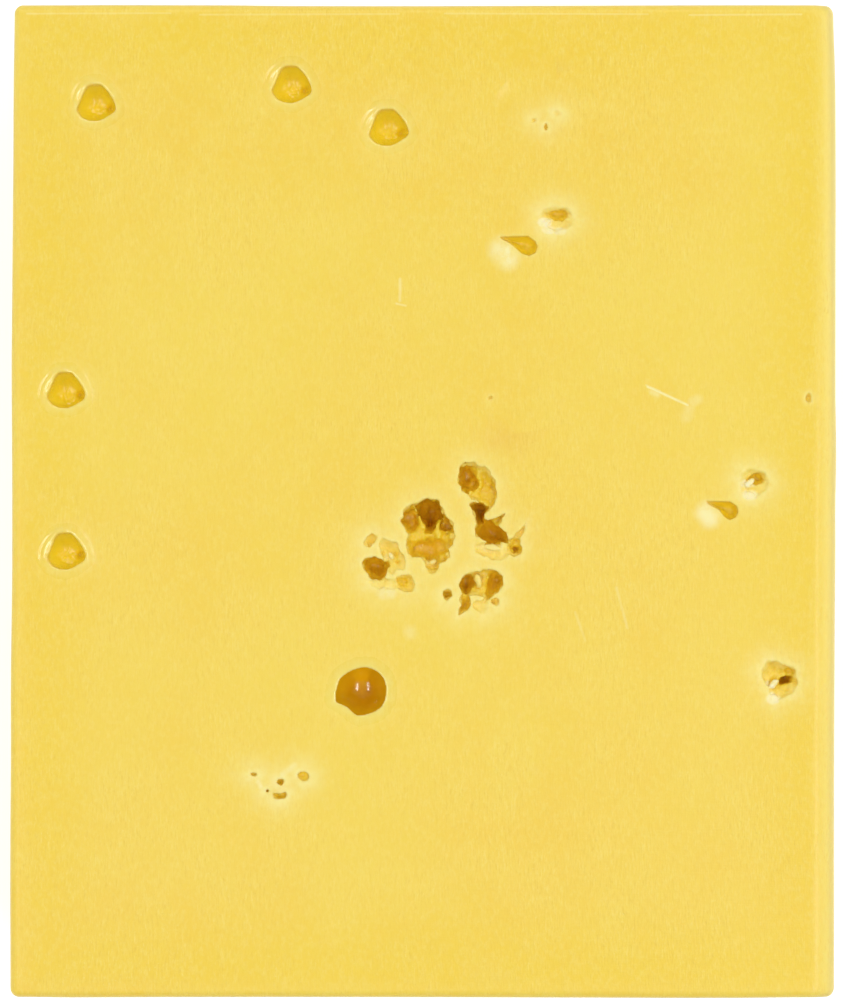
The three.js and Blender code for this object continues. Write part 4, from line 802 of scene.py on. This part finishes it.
# ================ BUILD
def make_piece():
    V, F, D0, DEP, FACE, UV = build_block()
    me = bpy.data.meshes.new('cheese')
    me.from_pydata([tuple(v) for v in V.tolist()], [], F)
    me.update()
    ob = bpy.data.objects.new('cheese', me)
    bpy.context.scene.collection.objects.link(ob)
    # drop crumbs that float free of the block
    import bmesh
    bm = bmesh.new()
    bm.from_mesh(me)
    bm.verts.layers.float.new('d0')
    bm.verts.layers.float.new('dep')
    bm.verts.ensure_lookup_table()
    part = np.full(len(bm.verts), -1)
    count = []
    for v in bm.verts:
        if part[v.index] >= 0:
            continue
        stack, n = [v], 0
        part[v.index] = len(count)
        while stack:
            a = stack.pop()
            n += 1
            for e in a.link_edges:
                b = e.other_vert(a)
                if part[b.index] < 0:
                    part[b.index] = len(count)
                    stack.append(b)
        count.append(n)
    main = int(np.argmax(count))
    gone = [v for v in bm.verts if part[v.index] != main]
    print('loose parts', len(count) - 1, 'with', len(gone), 'points')
    l0 = bm.verts.layers.float['d0']
    l1 = bm.verts.layers.float['dep']
    for v, a, b in zip(bm.verts, D0.tolist(), DEP.tolist()):
        v[l0] = a
        v[l1] = b
    bmesh.ops.delete(bm, geom=gone, context='VERTS')
    bmesh.ops.triangulate(bm, faces=[f for f in bm.faces if len(f.verts) > 3])
    bm.to_mesh(me)
    bm.free()
    # thin the skin where it is deep inside a hollow
    dep = np.zeros(len(me.vertices))
    me.attributes['dep'].data.foreach_get('value', dep)
    d0 = np.zeros(len(me.vertices))
    me.attributes['d0'].data.foreach_get('value', d0)
    vg = ob.vertex_groups.new(name='thin')
    w = smooth(0.5, 2.2, dep)
    co = np.zeros(len(me.vertices) * 3)
    me.vertices.foreach_get('co', co)
    co = co.reshape(-1, 3)
    w = np.maximum(w, 0.5 * ((dep < 1e-6) & (d0 > 3.0) & (co[:, 0] < HX - 6)))
    for e in EYE_LIST:
        if e.face == 'top' and e.name.startswith(('round', 'dimple_')) and 'pocket' not in e.name:
            hold = (np.hypot(co[:, 0] - e.u, co[:, 1] - e.v) < e.reach + 0.35) & (co[:, 2] > THICK - 6.5)
            w[hold] = 0
    for step in range(11):
        ids = np.nonzero(np.round(w * 10) == step)[0]
        if len(ids):
            vg.add(ids.tolist(), step / 10, 'REPLACE')
    goal = 186000
    tris = len(me.polygons)
    if tris > goal:
        mod = ob.modifiers.new('thin', 'DECIMATE')
        mod.decimate_type = 'COLLAPSE'
        mod.ratio = goal / tris
        mod.vertex_group = 'thin'
        mod.vertex_group_factor = 1.0
        mod.use_collapse_triangulate = True
        dg = bpy.context.evaluated_depsgraph_get()
        new = bpy.data.meshes.new_from_object(ob.evaluated_get(dg))
        ob.modifiers.clear()
        ob.data = new
        bpy.data.meshes.remove(me)
        me = new
    ob.vertex_groups.clear()
    me.name = 'cheese'
    print('triangles', tris, '->', len(me.polygons))
    return ob


def follow(table, t):
    xs = np.linspace(-62, 62, 249)
    ys = np.interp(xs, [a for a, _ in table], [b for _, b in table])
    ker = np.hanning(17)
    ker /= ker.sum()
    ys = np.convolve(np.concatenate([[ys[0]] * 8, ys, [ys[-1]] * 8]), ker, 'valid')
    return np.interp(t, xs, ys)


def shape(P):
    """Cut sides that wander a little, a worn shoulder, and faces that are not quite flat."""
    x, y, z = P[:, 0].copy(), P[:, 1].copy(), P[:, 2].copy()
    nz = np.zeros(len(P))
    wl = np.clip((-x - 25) / (HX - 25), 0, 1) ** 2
    wr = np.clip((x - 25) / (HX - 25), 0, 1) ** 2
    wt = np.clip((y - 35) / (HY - 35), 0, 1) ** 2
    wb = np.clip((-y - 35) / (HY - 35), 0, 1) ** 2
    side = 0.10 * (1 + vnoise(np.stack([x / 23, y / 23, z / 13], 1), 31)) + 0.03 * (1 + vnoise(np.stack([x / 7, y / 7, z / 5], 1), 32))
    low = smooth(24, 8, z)             # the sides belly very slightly in below the top edge
    X = x + wl * (follow(LEFT_SIDE, y) + side * low) - wr * (follow(RIGHT_SIDE, y) + side * low)
    Y = y - wt * (follow(TOP_SIDE, x) + side * low) + wb * (follow(BOTTOM_SIDE, x) + side * low)
    s = np.clip((x - (HX - 3.5)) / 3.5, 0, 1)
    wander = 1 + 0.15 * vnoise(np.stack([y / 19, nz, nz], 1), 33)
    drop = 1.0 * s ** 2.6 * wander
    wz = smooth(16, 30, z)
    sway = 0.055 * (1 + vnoise(np.stack([x / 27, y / 31, nz + 3], 1), 34)) + 0.016 * (1 + vnoise(np.stack([x / 6, y / 8, nz + 5], 1), 35))
    e = np.minimum(np.minimum(HX - np.abs(x), HY - np.abs(y)) / 9, 1)
    drop = drop + sway * smooth(0, 1, e)
    # the face dips towards each round eye
    for eye in EYE_LIST:
        if eye.face == 'top':
            r2 = (x - eye.u) ** 2 + (y - eye.v) ** 2
            big = eye.name.startswith('dimple') or eye.name.startswith('round')
            amp = 0.20 if big else 0.03 * min(eye.mouth, 2.0)
            if eye.name.startswith(('dimple_pocket', 'dimple_nook')):
                continue
            drop = drop + amp * np.exp(-r2 / (2.9 if big else 1.5 + eye.mouth) ** 2)
            if eye.name.startswith('dimple'):
                r = np.sqrt(r2)
                wob = 1 + 0.05 * np.sin(3 * np.arctan2(y - eye.v, x - eye.u) + eye.u)
                lean = smooth(0.1, 0.85, ((x - eye.u) * math.cos(2.75) + (y - eye.v) * math.sin(2.75)) / np.maximum(r, 0.5))
                drop = drop + lean * (0.085 * smooth(3.35, 2.95, r * wob) + 0.09 * smooth(2.70, 2.30, r * wob))
    Z = z - drop * wz
    return np.stack([X, Y, Z], 1)


ob = make_piece()
me = ob.data
n = len(me.vertices)
P = np.zeros(n * 3)
me.vertices.foreach_get('co', P)
P = P.reshape(-1, 3)
dep = np.zeros(n)
me.attributes['dep'].data.foreach_get('value', dep)
d0 = np.zeros(n)
me.attributes['d0'].data.foreach_get('value', d0)


def guide(name, values):
    a = me.attributes.get(name) or me.attributes.new(name, 'FLOAT', 'POINT')
    a.data.foreach_set('value', np.asarray(values, dtype=np.float32))


x, y, z = P.T
skin = dep < 0.02
top = (z > THICK - 9) & (np.abs(x) < HX - 0.2) & (np.abs(y) < HY - 0.2)
halo = np.zeros(n)
wet = np.zeros(n)
torn = np.zeros(n)
for name in FACES:
    at, ac, up, _, _ = FACES[name]
    ac, up = np.array(ac, float), np.array(up, float)
    rel = P - np.array(at, float)
    U, V, W = rel @ ac, rel @ up, rel @ np.cross(ac, up)
    for e in EYE_LIST:
        if e.face != name or e.name.startswith(('dimple_pocket', 'dimple_nook')):
            continue
        r = e.reach + 5
        m = (np.abs(U - e.u) < r) & (np.abs(V - e.v) < r) & (W > -e.depth - 1.0)
        if not m.any():
            continue
        c = np.clip(e.dist(U[m], V[m], np.zeros(m.sum())), -2, None)
        sunk = np.clip(-W[m], 0, None)
        k = e.halo * np.exp(-(np.clip(c, 0, None) / e.spread) ** 1.4) * np.exp(-sunk / 0.45)
        halo[m] = np.maximum(halo[m], k)
        smooth_eye = e.rough < 0.03
        inside = np.abs(e.dist(U[m], V[m], W[m]))
        if smooth_eye:
            wet[m] = np.maximum(wet[m], np.maximum(smooth(1.7, 0.9, c) * (sunk < 0.3), (1.0 if e.name.startswith('round') else 0.45) * smooth(0.6, 0.3, inside) * (sunk >= 0.05)))
        else:
            if e.name.startswith(('c1', 'c2', 'c3', 'c4', 'torn')):
                torn[m] = np.maximum(torn[m], smooth(2.6, 0.6, c))
hollow = smooth(0.05, 0.7, dep) * (1 - torn) + smooth(0.30, 1.25, dep) * torn
pale = np.zeros(n)
warm = np.zeros(n)
for fu, fv, fw, ra, rb, rc, turn, k in FLAKES:
    d = np.sqrt(((x - fu) / (ra + 0.25)) ** 2 + ((y - fv) / (rb + 0.25)) ** 2 + ((z - THICK - fw) / (rc + 0.3)) ** 2)
    pale = np.maximum(pale, k * smooth(1.35, 0.75, d))
for cx, cy, r, k in WARM:
    warm = np.maximum(warm, np.where(z > THICK - 2.5, k * np.exp(-((x - cx) ** 2 + (y - cy) ** 2) / r ** 2), 0))
inset = np.minimum(np.minimum(HX - np.abs(x), HY - np.abs(y)), np.minimum(z, THICK - z) + 1e3 * (z > 15))
edge = np.minimum(HX - np.abs(x), HY - np.abs(y))
guide('hollow', hollow)
guide('depth', np.clip(dep / 7.0, 0, 1))
guide('halo', halo)
guide('wet', wet)
guide('torn', torn)
# lip: a band just under each rim, used to paint the shade that the rim casts on the wall
guide('lip', smooth(0.02, 0.16, dep) * smooth(0.75, 0.30, dep))
guide('pale', pale)
guide('warm', warm)
guide('border', smooth(13, 3.5, edge) * smooth(0.5, 2.0, edge))
# a pale band along the right-hand brink of the upper face: painted sheen where that edge catches the light from the
# right
guide('shoulder', smooth(HX - 3.2, HX - 0.5, x) * smooth(THICK - 6, THICK - 1, z))
for gone in ('dep', 'd0'):
    me.attributes.remove(me.attributes[gone])

# the torn curd in the hollows gets a fine grain, moved along its own normals
me.vertices.foreach_set('co', P.ravel())
me.update()
N = np.zeros(n * 3)
me.vertices.foreach_get('normal', N)
N = N.reshape(-1, 3)
P = shape(P)
grain = 0.022 * vnoise(P / 0.33, 41) + 0.014 * vnoise(P / 0.19, 42)
P = P + N * (grain * smooth(0.1, 0.6, dep) * (1 - np.clip(2 * wet, 0, 1)))[:, None]
lo, hi = (np.array(c) * 1000 for c in cad_box)
P = np.clip(P, lo + 1e-4, hi - 1e-4)
me.vertices.foreach_set('co', (P * 0.001).astype(np.float32).ravel())
me.polygons.foreach_set('use_smooth', np.ones(len(me.polygons), bool))
me.update()

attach(ob, 'root')
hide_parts('cheese_block')


# ---------------------------------------------------------------- cheese
def srgb(r, g, b):
    return tuple((c / 255 / 12.92) if c / 255 <= 0.04045 else ((c / 255 + 0.055) / 1.055) ** 2.4 for c in (r, g, b)) + (1.0,)


mat = bpy.data.materials.new('cheese')
mat.use_nodes = True
nt = mat.node_tree
nt.nodes.clear()
link = nt.links.new


def node(kind, **kw):
    nd = nt.nodes.new(kind)
    for k, v in kw.items():
        setattr(nd, k, v)
    return nd


out = node('ShaderNodeOutputMaterial')
bsdf = node('ShaderNodeBsdfPrincipled')
link(bsdf.outputs[0], out.inputs[0])
coords = node('ShaderNodeTexCoord')


def mapped(scale, turn=(0, 0, 0)):
    m = node('ShaderNodeMapping')
    m.inputs['Scale'].default_value = scale
    m.inputs['Rotation'].default_value = turn
    link(coords.outputs['Object'], m.inputs['Vector'])
    return m.outputs[0]


def noise(vec, detail=2.0, rough=0.5, scale=1.0):
    t = node('ShaderNodeTexNoise')
    t.inputs['Scale'].default_value = scale
    t.inputs['Detail'].default_value = detail
    t.inputs['Roughness'].default_value = rough
    link(vec, t.inputs['Vector'])
    return t.outputs['Fac']


def attr(name):
    a = node('ShaderNodeAttribute')
    a.attribute_name = name
    return a.outputs['Fac']


def math_(op, a, b=None, clamp=False):
    m = node('ShaderNodeMath', operation=op, use_clamp=clamp)
    for k, v in ((0, a), (1, b)):
        if v is None:
            continue
        if isinstance(v, (int, float)):
            m.inputs[k].default_value = v
        else:
            link(v, m.inputs[k])
    return m.outputs[0]


def ramp(fac, a, b, lo=0.0, hi=1.0):
    m = node('ShaderNodeMapRange')
    m.inputs['From Min'].default_value = a
    m.inputs['From Max'].default_value = b
    m.inputs['To Min'].default_value = lo
    m.inputs['To Max'].default_value = hi
    link(fac, m.inputs['Value'])
    return m.outputs[0]


def mix(fac, a, b, mode='MIX'):
    m = node('ShaderNodeMix', data_type='RGBA', blend_type=mode)
    for k, v in ((0, fac), (6, a), (7, b)):
        if isinstance(v, (int, float)):
            m.inputs[k].default_value = v
        elif isinstance(v, tuple):
            m.inputs[k].default_value = v
        else:
            link(v, m.inputs[k])
    return m.outputs[2]


MM = 1000.0
broad = noise(mapped((MM / 30, MM / 34, MM / 30)), 2.0, 0.5)
cloud = noise(mapped((MM / 5.5, MM / 7.0, MM / 5.5)), 3.0, 0.55)
grain_ = noise(mapped((MM / 0.55, MM / 0.8, MM / 0.55)), 3.0, 0.6)
streak = noise(mapped((MM / 0.16, MM / 1.3, MM / 1.3), (0, 0, 0.05)), 2.0, 0.6)
cross = noise(mapped((MM / 2.6, MM / 0.2, MM / 2.6), (0, 0, 0.12)), 1.0, 0.5)

col = srgb(244, 212, 84)
c = mix(ramp(broad, 0.35, 0.65), srgb(245, 216, 84), srgb(246, 211, 80))
c = mix(ramp(cloud, 0.35, 0.68, 0.0, 0.55), c, srgb(247, 219, 96))
c = mix(math_('MULTIPLY', attr('border'), 0.62), c, srgb(244, 211, 60))
c = mix(ramp(grain_, 0.45, 0.72, 0.0, 0.5), c, srgb(248, 223, 112))
c = mix(ramp(streak, 0.52, 0.75, 0.0, 0.35), c, srgb(239, 201, 64))
# painted sheen: the right-hand brink is paled as if lit by the light on the right
c = mix(math_('MULTIPLY', attr('shoulder'), 0.6), c, srgb(250, 231, 134))
# a thin grey-olive line follows the brink of the upper face: painted shade, with a greyish painted reflection, where
# the rounded edge turns away from the light
split = node('ShaderNodeSeparateXYZ')
link(coords.outputs['Object'], split.inputs[0])
far = math_('MAXIMUM', math_('SUBTRACT', math_('ABSOLUTE', split.outputs['X']), (HX - 1.7) / 1000),
            math_('SUBTRACT', math_('ABSOLUTE', split.outputs['Y']), (HY - 1.4) / 1000))
brink_shade = math_('MULTIPLY', ramp(split.outputs['Z'], 0.02970, 0.02930), ramp(split.outputs['Z'], 0.0278, 0.0290))
brink_shade = math_('MULTIPLY', brink_shade, ramp(far, 0.0, 0.0004), True)
c = mix(math_('MULTIPLY', brink_shade, 0.42), c, srgb(207, 186, 104))
dash = noise(mapped((MM / 0.20, MM / 1.1, MM / 0.20), (0, 0, 0.12)), 2.0, 0.55)
speck = noise(mapped((MM / 0.34, MM / 0.42, MM / 0.34)), 2.0, 0.6)
area = ramp(math_('ADD', math_('MULTIPLY', cloud, 0.6), math_('MULTIPLY', broad, 0.4)), 0.42, 0.60, 0.10, 0.85)
c = mix(math_('MULTIPLY', ramp(dash, 0.56, 0.72, 0.0, 0.55), area), c, srgb(251, 228, 124))
c = mix(math_('MULTIPLY', ramp(dash, 0.44, 0.28, 0.0, 0.55), area), c, srgb(234, 197, 68))
c = mix(math_('MULTIPLY', ramp(speck, 0.62, 0.76, 0.0, 0.45), area), c, srgb(252, 232, 136))
c = mix(math_('MULTIPLY', ramp(speck, 0.38, 0.26, 0.0, 0.40), area), c, srgb(232, 196, 70))
c = mix(attr('warm'), c, srgb(236, 184, 66))
# hollows: moister and deeper in colour, and darker the deeper they go, as painted shade in the recesses
c = mix(attr('hollow'), c, srgb(243, 213, 40))
# painted shade: the colour darkens with depth inside the hollows
c = mix(ramp(attr('depth'), 0.15, 0.45, 0.0, 1.0), c, srgb(239, 201, 28))
c = mix(ramp(attr('depth'), 0.45, 0.85, 0.0, 1.0), c, srgb(241, 185, 14))
# torn curd is painted deeper and darker with depth than a smooth wall, as painted shade in its recesses, and the walls
# are darkest just under the lip, painted shade where the rim shadows them
torn_depth_shade = math_('MULTIPLY', attr('torn'), ramp(attr('depth'), 0.06, 0.32, 0.0, 1.0), True)
c = mix(math_('MULTIPLY', torn_depth_shade, 0.70), c, srgb(224, 167, 18))
c = mix(math_('MULTIPLY', math_('MULTIPLY', attr('lip'), attr('hollow')), 0.50, True), c, srgb(196, 148, 22))
# pale dry rims, flakes and smears
patchy = noise(mapped((MM / 1.5, MM / 1.5, MM / 1.5)), 3.0, 0.6)
strands = noise(mapped((MM / 0.5, MM / 0.5, MM / 0.5), (0, 0, 0.6)), 3.0, 0.65)
h = math_('MULTIPLY', attr('halo'), ramp(patchy, 0.30, 0.55, 0.45, 1.0))
h = math_('MULTIPLY', h, ramp(math_('MULTIPLY', strands, attr('torn')), 0.10, 0.50, 1.0, 0.80))
c = mix(math_('MULTIPLY', h, 0.95, True), c, srgb(252, 235, 150))
p = math_('MULTIPLY', attr('pale'), ramp(grain_, 0.3, 0.6, 0.55, 1.0), True)
c = mix(p, c, srgb(253, 240, 186))
# scuffs of the upper face, and a painted highlight along its back brink: each is a short line with soft sides
flat = node('ShaderNodeVectorMath', operation='MULTIPLY')
link(coords.outputs['Object'], flat.inputs[0])
flat.inputs[1].default_value = (1000, 1000, 0)
height_of = node('ShaderNodeSeparateXYZ')
link(coords.outputs['Object'], height_of.inputs[0])
upper = ramp(height_of.outputs['Z'], 0.0285, 0.0292)
scuff_and_brink_highlight = None
for x0, y0, x1, y1, hw, k in SMEARS_AND_BRINK_HIGHLIGHT:
    dx, dy = x1 - x0, y1 - y0
    rel = node('ShaderNodeVectorMath', operation='SUBTRACT')
    link(flat.outputs[0], rel.inputs[0])
    rel.inputs[1].default_value = (x0, y0, 0)
    dot = node('ShaderNodeVectorMath', operation='DOT_PRODUCT')
    link(rel.outputs[0], dot.inputs[0])
    dot.inputs[1].default_value = (dx / (dx * dx + dy * dy), dy / (dx * dx + dy * dy), 0)
    t = math_('ADD', dot.outputs['Value'], 0.0, True)
    along = node('ShaderNodeVectorMath', operation='SCALE')
    along.inputs[0].default_value = (dx, dy, 0)
    link(t, along.inputs['Scale'])
    off = node('ShaderNodeVectorMath', operation='DISTANCE')
    link(rel.outputs[0], off.inputs[0])
    link(along.outputs[0], off.inputs[1])
    m = node('ShaderNodeMapRange', interpolation_type='SMOOTHSTEP')
    m.inputs['From Min'].default_value = 1.7 * hw
    m.inputs['From Max'].default_value = 0.15 * hw
    m.inputs['To Max'].default_value = k
    link(off.outputs['Value'], m.inputs['Value'])
    scuff_and_brink_highlight = m.outputs[0] if scuff_and_brink_highlight is None else math_('MAXIMUM', scuff_and_brink_highlight, m.outputs[0])
fleck = noise(mapped((MM / 0.9, MM / 1.1, MM / 0.9)), 3.0, 0.65)
scuff_and_brink_highlight = math_('MULTIPLY', math_('MULTIPLY', scuff_and_brink_highlight, upper), ramp(fleck, 0.32, 0.56, 0.65, 1.0), True)
c = mix(scuff_and_brink_highlight, c, srgb(254, 241, 176))
link(c, bsdf.inputs['Base Color'])

r = ramp(cloud, 0.3, 0.7, 0.40, 0.52)
r = math_('ADD', r, ramp(grain_, 0.3, 0.7, -0.05, 0.06))
r = math_('SUBTRACT', r, math_('MULTIPLY', attr('hollow'), 0.10), True)
r = math_('MULTIPLY', r, ramp(attr('wet'), 0.0, 1.0, 1.0, 0.36), True)
link(r, bsdf.inputs['Roughness'])
bsdf.inputs['Subsurface Weight'].default_value = 0.30
bsdf.inputs['Subsurface Radius'].default_value = (1.0, 0.80, 0.20)
bsdf.inputs['Subsurface Scale'].default_value = 0.0016
bsdf.inputs['Specular IOR Level'].default_value = 0.5
bsdf.inputs['IOR'].default_value = 1.45
bsdf.inputs['Coat Weight'].default_value = 0.12
bsdf.inputs['Coat Roughness'].default_value = 0.18

# relief too fine for the mesh: drag marks of the cut, curd grain and pin pits
vor = node('ShaderNodeTexVoronoi', feature='F1')
link(mapped((MM / 1.9, MM / 2.2, MM / 1.9)), vor.inputs['Vector'])
vor.inputs['Scale'].default_value = 1.0
pits = math_('MULTIPLY', ramp(vor.outputs['Distance'], 0.05, 0.12, 1.0, 0.0), ramp(cloud, 0.5, 0.6, 0.0, 1.0), True)
height = math_('ADD', math_('MULTIPLY', streak, 0.7), math_('MULTIPLY', math_('MULTIPLY', dash, area), 1.0))
height = math_('ADD', height, math_('MULTIPLY', cross, 0.35))
height = math_('ADD', height, math_('MULTIPLY', grain_, 0.9))
height = math_('SUBTRACT', height, math_('MULTIPLY', pits, 1.2))
crumb = node('ShaderNodeTexVoronoi', feature='F1')
link(mapped((MM / 0.75, MM / 0.75, MM / 0.75)), crumb.inputs['Vector'])
crumb.inputs['Scale'].default_value = 1.0
height = math_('MULTIPLY', height, ramp(attr('wet'), 0.0, 1.0, 1.0, 0.12))
height = math_('SUBTRACT', height, math_('MULTIPLY', math_('MULTIPLY', crumb.outputs['Distance'], attr('torn')), 2.4))
bump = node('ShaderNodeBump')
bump.inputs['Strength'].default_value = 0.5
bump.inputs['Distance'].default_value = 0.00005
link(height, bump.inputs['Height'])
link(bump.outputs[0], bsdf.inputs['Normal'])
me.materials.clear()
me.materials.append(mat)

# ---------------------------------------------------------------- floor, light and camera
bpy.ops.mesh.primitive_plane_add(size=6.0, location=(0, 0, -0.00005))
floor = bpy.context.object
floor.name = 'floor'
fm = bpy.data.materials.new('floor')
fm.use_nodes = True
fb = fm.node_tree.nodes['Principled BSDF']
fb.inputs['Base Color'].default_value = (0.82, 0.82, 0.815, 1)
fb.inputs['Roughness'].default_value = 0.7
fb.inputs['Emission Color'].default_value = (0.96, 0.98, 1.0, 1)
fb.inputs['Emission Strength'].default_value = 0.46
floor.data.materials.append(fm)


def strip(name, at, aim, sx, sy, power, colour=(1, 1, 1)):
    l = bpy.data.lights.new(name, 'AREA')
    l.shape = 'RECTANGLE'
    l.size, l.size_y = sx, sy
    l.energy = power
    l.color = colour
    o = bpy.data.objects.new(name, l)
    bpy.context.scene.collection.objects.link(o)
    o.location = at
    zz = (Vector(at) - Vector(aim)).normalized()
    yy = (Vector((0, 1, 0)) - zz * zz.y).normalized()
    xx = yy.cross(zz)
    o.rotation_euler = Matrix((xx, yy, zz)).transposed().to_euler()
    return o


strip('strip_right', (0.36, -0.24, 0.92), (0, 0, 0.03), 0.060, 0.66, 2.65)
strip('strip_left', (-0.36, -0.24, 0.92), (0, 0, 0.03), 0.060, 0.66, 2.15)
strip('side_right', (0.95, 0.12, 0.50), (0, 0, 0.03), 0.90, 0.50, 2.6)
strip('side_left', (-0.95, 0.12, 0.50), (0, 0, 0.03), 0.90, 0.40, 1.75)
strip('back', (0.0, 0.78, 0.88), (0, 0, 0.02), 1.0, 0.32, 3.3)

world = bpy.data.worlds.new('studio')
world.use_nodes = True
world.node_tree.nodes['Background'].inputs['Color'].default_value = (1, 1, 1, 1)
world.node_tree.nodes['Background'].inputs['Strength'].default_value = 0.28
bpy.context.scene.world = world

cam_data = bpy.data.cameras.new('camera')
cam_data.lens = 100
cam_data.sensor_width = 36
cam_data.clip_start = 0.01
cam = bpy.data.objects.new('camera', cam_data)
bpy.context.scene.collection.objects.link(cam)
cam.location = (-0.00022, 0.00018, 0.030 + 0.3347)
cam.rotation_euler = (0, 0, 0)
bpy.context.scene.camera = cam
bpy.context.scene.view_settings.view_transform = 'Standard'
bpy.context.scene.view_settings.look = 'None'
bpy.context.scene.cycles.use_denoising = True

bpy.context.view_layer.update()
